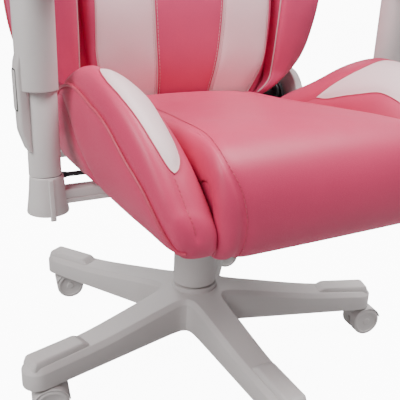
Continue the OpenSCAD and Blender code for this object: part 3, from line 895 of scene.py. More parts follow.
class Skin:
    """A closed grid of points that stands for a sewn cover, with marks to find places on it."""

    def __init__(self, rows: np.ndarray, stations: Sequence[float], marks: Sequence[float]) -> None:
        """Keeps the grid.

        Args:
            rows: Array of stations by points by three; each row closes on itself.
            stations: The mark of each row.
            marks: The mark of each point in a row.
        """
        self.rows = np.asarray(rows, float)
        self.stations = np.asarray(stations, float)
        self.marks = np.asarray(marks, float)

    def normals(self) -> np.ndarray:
        """Outward directions at every point."""
        around = np.roll(self.rows, -1, axis=1) - np.roll(self.rows, 1, axis=1)
        along = np.gradient(self.rows, axis=0)
        out = np.cross(around, along)
        out /= np.maximum(np.linalg.norm(out, axis=2, keepdims=True), 1e-9)
        middle = self.rows.mean(axis=1, keepdims=True)
        if float(((self.rows - middle) * out).sum()) < 0:
            out = -out
        return out

    def trace(self, path: Table, count: int, lift: float = 0.0, closed: bool = False) -> np.ndarray:
        """Lays a smooth line on the cover.

        Args:
            path: Places [station, mark] that it runs through.
            count: How many points it gets.
            lift: How far it stands off the cover.
            closed: Whether it returns to its start.

        Returns:
            The line's points.
        """
        raised = self.rows + self.normals() * lift
        return np.array([self._spot(raised, s, m) for s, m in smooth_line(path, count, closed)])

    def _spot(self, grid: np.ndarray, station: float, mark: float) -> np.ndarray:
        """The point of a grid at a station and mark."""
        r = float(np.interp(station, self.stations, np.arange(len(self.stations))))
        c = float(np.interp(mark, self.marks, np.arange(len(self.marks))))
        i, j = min(int(r), len(self.stations) - 2), min(int(c), len(self.marks) - 2)
        u, v = r - i, c - j
        low = grid[i, j] * (1 - v) + grid[i, j + 1] * v
        high = grid[i + 1, j] * (1 - v) + grid[i + 1, j + 1] * v
        return low * (1 - u) + high * u

    def pull_in(self, lines: Sequence[np.ndarray], depth: float, width: float) -> "Skin":
        """Draws the cover in along sewn lines.

        Args:
            lines: The lines' points.
            depth: How far it is drawn in at a line.
            width: Distance over which that fades.

        Returns:
            This skin.
        """
        near = self.distance(lines)
        self.rows = self.rows - self.normals() * (depth * np.exp(-((near / width) ** 2)))[..., None]
        return self

    def distance(self, lines: Sequence[np.ndarray]) -> np.ndarray:
        """Distance from every point of the cover to the nearest of the lines."""
        points = np.vstack(lines)
        tree = KDTree(len(points))
        for i, p in enumerate(points):
            tree.insert(p, i)
        tree.balance()
        flat = self.rows.reshape(-1, 3)
        return np.array([tree.find(p)[2] for p in flat]).reshape(self.rows.shape[:2])

    def inflate(self, held: np.ndarray, pressure: float, cap: float) -> "Skin":
        """Blows the cover up as cloth, with some points held.

        Args:
            held: True where a point is sewn down.
            pressure: The cloth's inner pressure.
            cap: The furthest that a point may move.

        Returns:
            This skin.
        """
        stuffing = Stuffing()
        work = Shape().grid(self.rows).piece("stuffing", bpy.data.materials["cream_leather"])
        pins = work.vertex_groups.new(name="held")
        pins.add([int(i) for i in np.flatnonzero(held.ravel())], 1.0, "REPLACE")
        cloth = work.modifiers.new("cloth", "CLOTH")
        cloth.settings.use_pressure = True
        cloth.settings.uniform_pressure_force = pressure
        cloth.settings.vertex_group_mass = "held"
        cloth.settings.tension_stiffness = stuffing.tension
        cloth.settings.bending_stiffness = stuffing.bending
        cloth.settings.effector_weights.gravity = 0
        scene = bpy.context.scene
        for step in range(1, stuffing.steps + 1):
            scene.frame_set(step)
        solved = work.evaluated_get(bpy.context.evaluated_depsgraph_get()).data
        moved = np.array([v.co for v in solved.vertices]).reshape(self.rows.shape) / MM - self.rows
        far = np.linalg.norm(moved, axis=2, keepdims=True)
        near = np.clip(self.distance([self.rows[held]]) / stuffing.free_from, 0, 1)
        ease = (near**2 * (3 - 2 * near))[..., None]
        self.rows = self.rows + moved * ease * np.minimum(1.0, cap / np.maximum(far, 1e-9))
        bpy.data.objects.remove(work)
        scene.frame_set(1)
        return self

    def piece(self, name: str, material: bpy.types.Material, inset: np.ndarray | None = None) -> Object:
        """Makes the padded piece.

        Args:
            name: Its name.
            material: Its finish.
            inset: For a finish with a sewn inset, how far inside it each point lies.

        Returns:
            The new object.
        """
        made = Shape().grid(self.rows).piece(name, material, ALL_SMOOTH)
        if inset is not None:
            mark = made.data.attributes.new("inset", "FLOAT", "POINT")
            mark.data.foreach_set("value", inset.ravel().astype(np.float32))
        return refine(made)


def stitches(path: np.ndarray, pitch: float = 6.0, length: float = 4.2, radius: float = 0.45) -> Shape:
    """A row of thread stitches along a line.

    Args:
        path: Points along the line, on the leather.
        pitch: Distance from one stitch to the next.
        length: Length of a stitch.
        radius: Radius of the thread.

    Returns:
        The stitches as one shape.
    """
    along = np.r_[0, np.cumsum(np.linalg.norm(np.diff(path, axis=0), axis=1))]
    made = Shape()
    for start in np.arange(pitch / 2, along[-1] - length, pitch):
        at = start + np.array([0.0, 0.5, 1.0]) * length
        made.tube(np.column_stack([np.interp(at, along, path[:, c]) for c in range(3)]), radius, 5)
    return made


def inside_distance(places: np.ndarray, outline: np.ndarray) -> np.ndarray:
    """1 inside a closed outline and -1 outside it.

    Args:
        places: Points in the plane of the outline.
        outline: The outline's points.

    Returns:
        One sign for each place.
    """
    x, y = places[:, 0], places[:, 1]
    inside = np.zeros(len(places), bool)
    for (x1, y1), (x2, y2) in zip(outline, np.roll(outline, -1, axis=0)):
        crosses = (y1 > y) != (y2 > y)
        with np.errstate(divide="ignore", invalid="ignore"):
            inside ^= crosses & (x < (x2 - x1) * (y - y1) / (y2 - y1 if y2 != y1 else 1e-9) + x1)
    return np.where(inside, 1.0, -1.0)


def ring_point(section: np.ndarray, t: float) -> np.ndarray:
    """A point on a smooth closed curve through a section's points, t counting them."""
    n = len(section)
    k = int(t) % n
    f = t - int(t)
    p0, p1, p2, p3 = (section[(k + d) % n] for d in (-1, 0, 1, 2))
    return 0.5 * (
        2 * p1 + (p2 - p0) * f + (2 * p0 - 5 * p1 + 4 * p2 - p3) * f**2 + (3 * p1 - p0 - 3 * p2 + p3) * f**3
    )


def section_row(section: np.ndarray, x1: float, x2: float, low: float, high: float) -> np.ndarray:
    """Fits a section's shares, across and up, between two sides and two heights."""
    return np.array([x1, low]) + section * np.array([x2 - x1, high - low])


def rounded_skin(rows: list[np.ndarray], reach: float, stations: np.ndarray, marks: np.ndarray) -> Skin:
    """Closes a run of rings with rounded ends.

    Args:
        rows: The rings.
        reach: How far each end stands out beyond its ring.
        stations: The mark of each ring.
        marks: The mark of each point in a ring.

    Returns:
        The closed cover, its end rings marked one apart beyond the first and last stations.
    """
    before, after = [], []
    for end, beside, store in ((rows[0], rows[1], before), (rows[-1], rows[-2], after)):
        middle = end.mean(axis=0)
        out = middle - beside.mean(axis=0)
        out /= np.linalg.norm(out)
        for turn in END_TURNS:
            a = math.radians(turn)
            store.append(middle + (end - middle) * math.cos(a) + out * reach * math.sin(a))
    beyond = np.arange(1, len(END_TURNS) + 1)
    full = np.r_[stations[0] - beyond[::-1], stations, stations[-1] + beyond]
    return Skin(np.array([*reversed(before), *rows, *after]), full, marks)


# ---------------------------------------------------------------- star base and casters


def turn_z(degrees: float) -> Matrix:
    """A turn about the vertical."""
    return Matrix.Rotation(math.radians(degrees), 4, "Z")


def shift(x: float, y: float, z: float) -> Matrix:
    """A move, in millimetres."""
    return Matrix.Translation((x, y, z))


@dataclass
class StarBase:
    """Moulded base with five arms on a ribbed hollow section."""

    reach: float = 350
    first_arm: float = 123.2
    tip_half: float = 25
    web_reach: float = 66
    bore: float = 25.2
    hub: float = 41.5
    hub_low: float = 50
    hub_top: float = 125.2
    top: Table = ((0, 124), (46, 118), (120, 109.5), (225, 98.5), (351, 95.5))
    low: Table = ((0, 54), (120, 56), (351, 60))
    rib_places: Sequence[float] = (105, 150, 195, 240)

    def half(self, x: float) -> float:
        """Half the width of an arm at a distance from the lift."""
        return 33 - (33 - self.tip_half) * (x - 20) / (self.reach - self.tip_half - 20)

    def outline(self) -> tuple[np.ndarray, np.ndarray, int]:
        """Plan of the whole star.

        Returns:
            The points, each point's distance along its own arm, and how many points an arm has.
        """
        web = self.web_reach
        start = (web * math.cos(math.radians(36)), -web * math.sin(math.radians(36)))
        side = [(x, -self.half(x) - extra) for x, extra in ((60, 2.6), (67, 1.3), (76, 0.5), (90, 0.05))]
        side += [(x, -self.half(x)) for x in (120, 160, 200, 225, 250, 285, 315)]
        middle = self.reach - self.tip_half
        tip = [
            (middle + self.tip_half * math.cos(a), self.tip_half * math.sin(a))
            for a in np.linspace(-math.pi / 2, math.pi / 2, 14)
        ]
        arm = [start, *side, *tip, *[(x, -y) for x, y in reversed(side)]]
        points, along = [], []
        for k in range(5):
            a = math.radians(self.first_arm + 72 * k)
            for x, y in arm:
                points.append((x * math.cos(a) - y * math.sin(a), x * math.sin(a) + y * math.cos(a)))
                along.append(x)
        return np.array(points), np.array(along), len(arm)

    def body(self) -> Shape:
        """The arms as one moulding: side walls, chamfered top and hollow underside."""
        plan, along, count = self.outline()
        top = np.array([smooth_row(self.top, x)[0] for x in along])
        low = np.array([smooth_row(self.low, x)[0] for x in along])
        walls = (
            (6.0, top - 14), (5.0, top - 14), (3.6, low + 0.2), (2.8, low), (1.0, low), (0.2, low + 0.6),
            (0.0, low + 1.6), (0.0, top - 9.4), (0.3, top - 8.2), (1.0, top - 7.2), (6.4, top - 1.0),
            (7.2, top - 0.35), (8.2, top), (9.6, top),
        )
        rows = [np.column_stack([inset_outline(plan, inset), z]) for inset, z in walls]
        made = Shape().grid(np.array(rows), capped=False)
        for start in (0, (len(walls) - 1) * len(plan)):
            made.faces.extend(self._ladder(start, count))
        return made

    @staticmethod
    def _ladder(start: int, count: int) -> list[tuple[int, ...]]:
        """Faces that close the star between its two sides, from the hub out to each tip."""
        total = 5 * count
        faces = [tuple(start + k * count for k in range(5))]
        for k in range(5):
            base = k * count
            pairs = [(base + i, base + count - i) for i in range((count + 1) // 2)]
            for (a, b), (c, d) in zip(pairs, pairs[1:]):
                corner = (start + a, start + c, start + d % total, start + b % total)
                faces.append(corner if corner[1] != corner[2] else corner[:2] + corner[3:])
        return faces

    def details(self) -> Shape:
        """Hub ring, raised end pads, and the ribs inside the arms."""
        made = Shape().lathe_ring(
            ((self.bore, self.hub_low), (self.hub - 2, self.hub_low), (self.hub, self.hub_low + 2),
             (self.hub, self.hub_top - 3), (self.hub - 0.8, self.hub_top - 0.9),
             (self.hub - 2.6, self.hub_top),
             (self.bore, self.hub_top))
        )
        for k in range(5):
            arm = Shape()
            rows = []
            for z, x1, x2, half, corner in (
                (93, 236, 342, 17.6, 5), (97.5, 241, 341, 17.2, 5), (103.6, 250, 338.6, 16.4, 5),
                (105.2, 253, 336.8, 15.2, 4.6), (105.9, 255.5, 334.8, 13.6, 4), (106, 258, 333, 12, 3.5),
            ):
                flat = rounded_box((x2 - x1) / 2, half, corner) + ((x1 + x2) / 2, 0)
                rows.append(at_height(flat, z))
            arm.grid(np.array(rows))
            for x in self.rib_places:
                low, high = smooth_row(self.low, x)[0] + 4, smooth_row(self.top, x)[0] - 12
                flat = rounded_box(1.3, self.half(x) - 4, 0.6) + (x, 0)
                arm.plate(flat, low, high, 0.5)
            made.merged(arm.moved(turn_z(self.first_arm + 72 * k)))
        return made

    def build(self, shop: Workshop) -> None:
        """Builds the base and fits it."""
        shop.add(
            self.body().merged(self.details()), "star_base_moulding", "white_nylon", "base", ["star_base"],
            smooth=32,
        )


@dataclass
class Casters:
    """Five twin-wheel casters with a hood over the wheels."""

    stem_circle: float = 326
    first_arm: float = 123.2
    trail: float = 17
    trail_dir: float = -10
    wheel: float = 27.5
    half: float = 23
    inner: float = 4.6
    hood: float = 30.1
    hood_from: float = 16
    stem: float = 5.5

    def place(self, k: int) -> Matrix:
        """Where caster k stands, 1 to 5."""
        heading = self.first_arm + 72 * (k - 1)
        return turn_z(heading) @ shift(self.stem_circle, 0, 0) @ turn_z(self.trail_dir - heading)

    def axle(self) -> Matrix:
        """From the wheel's own axis to the caster's upright frame."""
        return shift(self.trail, 0, self.wheel) @ Matrix.Rotation(math.pi / 2, 4, "X")

    def wheels(self) -> Shape:
        """Both wheels, with a tread, a rim, a sunk face and a small boss."""
        r, out = self.wheel, self.half
        profile = (
            (3, self.inner), (r - 2.4, self.inner), (r - 0.7, self.inner + 0.6), (r, self.inner + 2),
            (r, out - 3.4), (r - 0.4, out - 1.7), (r - 1.8, out - 0.5), (r - 3.6, out),
            (r - 5.6, out), (r - 6.4, out - 0.4), (r - 7.0, out - 1.5), (r - 7.8, out - 1.9),
            (7.5, out - 1.9), (6.7, out - 1.2), (5.6, out - 0.9), (3, out - 0.9),
        )
        made = Shape()
        for flip in (1, -1):
            made.merged(Shape().lathe([(radius, flip * z) for radius, z in profile]))
        return made.merged(Shape().lathe(((3, -10), (3, 10)), sides=24)).moved(self.axle())

    def housing(self) -> Shape:
        """The hood, the web between the wheels, and the boss under the arm."""
        rows = []
        inner, outer, wide = self.wheel + 0.9, self.hood, self.half
        for turn in np.linspace(self.hood_from, 180 - self.hood_from, 40):
            a = math.radians(turn)
            ring = (
                (inner, -wide + 0.5), (inner, wide - 0.5), (inner + 0.4, wide), (outer - 0.9, wide),
                (outer - 0.2, wide - 0.5), (outer, wide - 1.4), (outer, 0), (outer, -wide + 1.4),
                (outer - 0.2, -wide + 0.5), (outer - 0.9, -wide), (inner + 0.4, -wide),
            )
            rows.append([(r * math.cos(a), r * math.sin(a), z) for r, z in ring])
        made = Shape().grid(np.array(rows))
        made.plate(circle(48) * (self.wheel - 4), -3.4, 3.4, 0.8)
        made.plate(rounded_box(13, 9, 4) + (0, 20), -3.4, 3.4, 0.6)
        made.moved(self.axle())
        return made.merged(Shape().lathe(((9, 42), (10, 43), (10, 57.6), (9.2, 58.6), (6, 58.9)), sides=40))

    def build(self, shop: Workshop) -> None:
        """Builds and fits all five casters."""
        for k in range(1, 6):
            spot = self.place(k)
            shop.add(
                self.wheels().moved(spot), f"caster_{k}_twin_wheels", "white_nylon", f"wheels_{k}",
                [f"caster_wheels_{k}"], smooth=32,
            )
            shop.add(
                self.housing().moved(spot), f"caster_{k}_hood", "white_nylon", f"caster_{k}",
                [f"caster_housing_{k}"], smooth=32,
            )
            profile = ((self.stem, 56), (self.stem, 90.4), (self.stem - 1, 91.8))
            shop.add(
                Shape().lathe(profile, sides=24).moved(spot), f"caster_{k}_stem", "bright_steel",
                f"caster_{k}",
            )


@dataclass
class GasLift:
    """Telescopic covers and the tube, rod and cylinder inside them."""

    wall: float = 2
    lower: Table = ((39.2, 128.5), (38, 216.5))
    middle: Table = ((35.4, 156), (35.4, 244))
    upper: Table = ((32.2, 197), (32.2, 284.8))
    tube: float = 25

    def cover(self, ends: Table, foot: float = 0) -> Shape:
        """One cover section: a thin tube with rounded lips and, where asked, a closed foot."""
        (r1, z1), (r2, z2) = ends
        inner = foot or r1 - self.wall
        return Shape().lathe_ring(
            ((inner, z1), (r1 - 0.9, z1), (r1, z1 + 0.9), (r2, z2 - 1.6), (r2 - 0.5, z2 - 0.4),
             (r2 - 1.1, z2), (r2 - self.wall + 0.3, z2 - 0.3), (r2 - self.wall, z2 - 1.2),
             (r1 - self.wall, z1 + 3), (inner, z1 + 3))
        )

    def cap(self) -> Shape:
        """The upper cover, closed at its top round the cylinder."""
        (r, z1), (_, z2) = self.upper
        return Shape().lathe_ring(
            ((r - self.wall, z1), (r - 0.8, z1), (r, z1 + 0.8), (r, z2 - 1.6), (r - 1.6, z2), (15.2, z2),
             (15.2, z2 - 2.4), (r - self.wall, z2 - 2.4))
        )

    def build(self, shop: Workshop) -> None:
        """Builds the covers and dresses what is inside."""
        white = "white_nylon"
        shop.add(self.cover(self.lower, self.tube + 1), "lift_cover_lower", white, "base", ["cover_lower"])
        shop.add(self.cover(self.middle), "lift_cover_middle", white, "cover_ring", ["cover_middle"])
        shop.add(self.cap(), "lift_cover_upper", white, "chassis", ["cover_upper"])
        for node in ("lift_outer_tube", "piston_rod", "thrust_bearing", "lift_cylinder", "valve_pin"):
            shop.dress(node, "bright_steel")
        shop.dress("guide_bush", "black_nylon")


# ---------------------------------------------------------------- seat


@dataclass
class SeatMechanism:
    """Tilt mechanism, levers and the steel structure of the seat, kept as the CAD has them."""

    edge: float = 0.7

    def build(self, shop: Workshop) -> None:
        """Dresses every steel part under the seat."""
        for node in (
            "mechanism_housing", "seat_plate", "seat_frame", "hinge_plate_left", "hinge_plate_right"
        ):
            shop.dress(node, "black_steel", self.edge)
        for node in ("tilt_spring", "tilt_pivot_pins", "tilt_bolt"):
            shop.dress(node, "bright_steel")
        shop.dress("seat_bolts", "bright_steel", 0.5)
        shop.dress("lift_lever", "black_steel")
        shop.dress("tension_knob", "black_nylon", 0.6)
        shop.dress("seat_webbing", "elastic_webbing")
        shop.dress("back_frame", "black_steel")


@dataclass
class SeatCushion:
    """Main cushion: a crowned top panel, sewn to a rolled side on each flank and over the lip."""

    bottom: float = 406
    back_half: float = 157
    front_half: float = 168
    back_y: float = 57
    run: float = 397
    row_pitch: float = 6
    crown: float = 3
    top_points: int = 45
    flank_points: int = 13
    # [y, z, half width of the top panel, thickness of the roll beside it], from the rear over the lip.
    side_view: Table = (
        (57, 452, 108, 26), (55, 460, 108, 36), (47, 465, 109, 46), (0, 468, 112, 56), (-60, 470, 117, 60),
        (-180, 477, 134, 66), (-270, 481, 148, 64), (-318, 477, 159, 50), (-344, 461, 158, 38),
        (-358, 434, 148, 30), (-363, 400, 142, 26), (-361, 367, 144, 20), (-352, 353, 146, 13),
        (-336, 349, 146, 11), (-322, 356, 145, 9), (-314, 382, 145, 7), (-306, 404, 145, 5),
    )
    creases: Sequence[Table] = (
        ((-20, -40), (30, -75), (95, -110)),
        ((-75, -150), (-20, -128), (20, -120)),
        ((40, -190), (85, -215), (120, -228)),
        ((-105, -215), (-70, -240), (-48, -268)),
        ((-15, -255), (35, -262), (80, -290)),
    )

    # Outline [y, z] of the cloth that closes the flank behind the lip.
    flank_panel: Table = (
        (-240, 368), (-240, 442), (-295, 452), (-332, 442), (-350, 412), (-353, 382), (-345, 362),
        (-318, 357),
    )

    def half(self, y: float) -> float:
        """Half the cushion's width at a depth."""
        return self.back_half + (self.front_half - self.back_half) * (self.back_y - y) / self.run

    def skin(self) -> Skin:
        """The cover as a grid: rows run from the rear over the lip, points run across and back below."""
        given = np.array(self.side_view)
        length = float(np.linalg.norm(np.diff(given[:, :2], axis=0), axis=1).sum())
        path = smooth_line(given, int(length / self.row_pitch))
        ahead = np.gradient(path[:, :2], axis=0)
        ahead /= np.linalg.norm(ahead, axis=1, keepdims=True)
        rows = []
        for (y, z, panel, thick), (dy, dz) in zip(path, ahead):
            inward = np.array([-dz, dy])
            rows.append(self._row(y, z, panel, thick, inward))
        marks = np.arange(len(rows[0]))
        return Skin(np.array(rows), np.arange(len(rows)), marks)

    def _row(self, y: float, z: float, panel: float, thick: float, inward: np.ndarray) -> np.ndarray:
        """One row of the cover, from the left wall across the top to the right wall and back."""
        half = self.half(y)
        roll = 0.62 * thick
        across: list[tuple[float, float]] = []
        for share in np.linspace(-1, 1, self.top_points):
            across.append((share * panel, -self.crown * (1 - share**2) * min(1.0, thick / 40)))
        flank = []
        for turn in np.linspace(9, 90, 10):
            a = math.radians(turn)
            flank.append((panel + (half - panel) * math.sin(a), roll * (1 - math.cos(a))))
        flank.append((half, roll + (thick - roll) * 0.5))
        flank.append((half - 1.5, thick - 1))
        flank.append((half - 5, thick))
        below = [(share * (half - 5), thick) for share in (0.8, 0.4, 0.0, -0.4, -0.8)]
        line = [(-x, d) for x, d in reversed(flank)] + across + flank + below
        return np.array([(x, y + inward[0] * d, z + inward[1] * d) for x, d in line])

    def build(self, shop: Workshop) -> None:
        """Builds the cushion with its seams and creases."""
        skin = self.skin()
        flank, far = self.flank_points, self.flank_points + self.top_points - 1
        seams = [skin.rows[:, flank], skin.rows[:, far]]
        held = skin.distance(seams) < 2.5
        held[:, : flank - 1] = True
        held[:, far + 2 :] = True
        held[:3] = held[-8:] = True
        skin.pull_in(seams, 2.0, 9)
        skin.inflate(held, 3.0, 3.5)
        skin.pull_in(seams, 2.2, 3.4)
        top = [(-y, z) for y, z, *_ in self.side_view[:9]]
        folds = [
            np.array([(x, y, smooth_row(top, -y)[0] + 2.5) for x, y in smooth_line(crease, 40)])
            for crease in self.creases
        ]
        skin.pull_in(folds, 0.8, 4.5)
        cushion = skin.piece("seat_cushion_cover", shop.finishes["rose_leather"])
        shop.fit(cushion, "seat", ["seat_cushion"])
        for name, side in SIDES.items():
            inner = Shape().plate(
                smooth_line(self.flank_panel, 80, closed=True), 120, 164.5, 9
            ).moved(SIDEWAYS)
            shop.add(
                inner.mirrored(side), f"seat_flank_panel_{name}", "rose_leather", "seat", smooth=60
            )
        for name, column, beside in (("right", flank, flank + 1), ("left", far, far - 1)):
            run = skin.rows[
                2:-9, column
            ] * 0.35 + skin.rows[2:-9, beside] * 0.65 + skin.normals()[2:-9, beside] * 0.5
            shop.add(stitches(run), f"seat_stitching_{name}", "rose_piping", "seat")


@dataclass
class SeatBolster:
    """Side bolster with a cream leaf inset over its crest and a piped seam down its outer face."""

    # [y, inner x, outer x, bottom z, top z]
    sizes: Table = (
        (-347, 168, 224, 365, 420), (-333, 166, 231, 366, 442), (-302, 166, 240, 371, 482),
        (-260, 166, 249, 376, 516), (-210, 165, 256, 381, 540), (-150, 165, 260, 386, 543),
        (-90, 165, 260, 387, 526), (-30, 165, 257, 389, 494), (10, 167, 251, 393, 474),
        (32, 172, 245, 398, 463),
    )
    section: Table = (
        (0.18, 0), (0.02, 0.1), (0, 0.3), (0.03, 0.54), (0.2, 0.77), (0.47, 0.93), (0.73, 1), (0.89, 0.97),
        (0.97, 0.86), (1, 0.66), (0.98, 0.42), (0.9, 0.2), (0.74, 0.04),
    )
    leaf: Table = (
        (-84, 3.35), (-112, 3.95), (-138, 4.5), (-156, 5.05), (-176, 6.15), (-213, 6.8), (-243, 6.7),
        (-273, 6.45), (-306, 6.15), (-324, 5.6),
        (-318, 5.0), (-303, 4.55), (-266, 4.3), (-218, 4.0), (-185, 3.65), (-150, 3.4), (-115, 3.25),
    )
    welt: Table = (
        (-20, 7.9), (-48, 7.4), (-83, 7.75), (-123, 8.0), (-190, 8.5), (-240, 8.7), (-280, 9.1), (-316, 9.4),
        (-336, 10.0), (-350, 11.2),
    )
    side_seam: Table = ((-50, 7.8), (-80, 8.3), (-113, 9.2), (-143, 10.3), (-168, 11.3), (-188, 12.3))
    front_seam: Table = ((-325, 5.6), (-340, 5.6), (-352, 5.6))
    rear_seam: Table = ((-84, 3.35), (-55, 3.2), (-20, 3.1), (26, 3.1))
    nose_reach: float = 17

    def skin(self) -> Skin:
        """The cover as a grid: rows from front to rear, points round the section."""
        section = np.array(self.section)
        marks = np.linspace(0, len(section), 8 * len(section) + 1)[:-1]
        shares = np.array([ring_point(section, t) for t in marks])
        rows = []
        stations = np.linspace(self.sizes[0][0], self.sizes[-1][0], 74)
        for y in stations:
            x1, x2, z1, z2 = smooth_row(self.sizes, y)
            rows.append(np.insert(section_row(shares, x1, x2, z1, z2), 1, y, axis=1))
        return rounded_skin(rows, self.nose_reach, stations, marks)

    def inner_side(self, skin: Skin) -> np.ndarray:
        """The points that face the cushion, which lie against it and don't swell."""
        inner = skin.rows[..., 0].min(axis=1, keepdims=True)
        return skin.rows[skin.rows[..., 0] < inner + 6]

    def build(self, shop: Workshop, name: str, side: int) -> None:
        """Builds and fits one bolster."""
        skin = self.skin()
        leaf = skin.trace(self.leaf, 300, closed=True)
        welt = skin.trace(self.welt, 160)
        seams = [skin.trace(line, 90) for line in (self.side_seam, self.front_seam, self.rear_seam)]
        near_leaf = skin.distance([leaf])
        places = np.array([(s, m) for s in skin.stations for m in skin.marks])
        signs = inside_distance(places, smooth_line(self.leaf, 120, closed=True)).reshape(near_leaf.shape)
        lines = [leaf, welt, *seams]
        held = skin.distance(lines) < 2.5
        held |= (skin.rows[..., 2] < 400) | (skin.distance([self.inner_side(skin)]) < 20)
        held[:12] = held[-8:] = True
        skin.pull_in(lines, 1.6, 8)
        skin.inflate(held, 2.0, 2.2)
        skin.pull_in([leaf, *seams], 1.0, 3.0)
        pipe_path = skin.trace(self.welt, 160, 1.2)
        edge_path = skin.trace(self.leaf, 220, 0.3, closed=True)
        threads = [skin.trace(line, 90, 0.2) for line in (self.side_seam, self.front_seam, self.rear_seam)]
        if side < 0:
            for line in (pipe_path, edge_path, *threads):
                line[:, 0] *= -1
            skin.rows[..., 0] *= -1
        cover = skin.piece(
            f"bolster_cover_{name}", shop.finishes["rose_leather_with_inset"], near_leaf * signs
        )
        shop.fit(cover, "seat", [f"seat_bolster_{name}"])
        shop.add(
            Shape().tube(pipe_path, 2.4, 10), f"bolster_piping_{name}", "rose_piping", "seat",
            smooth=ALL_SMOOTH,
        )
        shop.add(
            Shape().tube(edge_path, 0.8, 6, closed=True), f"bolster_inset_edge_{name}", "rose_piping",
            "seat", smooth=ALL_SMOOTH,
        )
        sewn = Shape()
        for line in threads:
            sewn.merged(stitches(line))
        shop.add(sewn, f"bolster_stitching_{name}", "rose_piping", "seat")


# ---------------------------------------------------------------- armrests and hinges


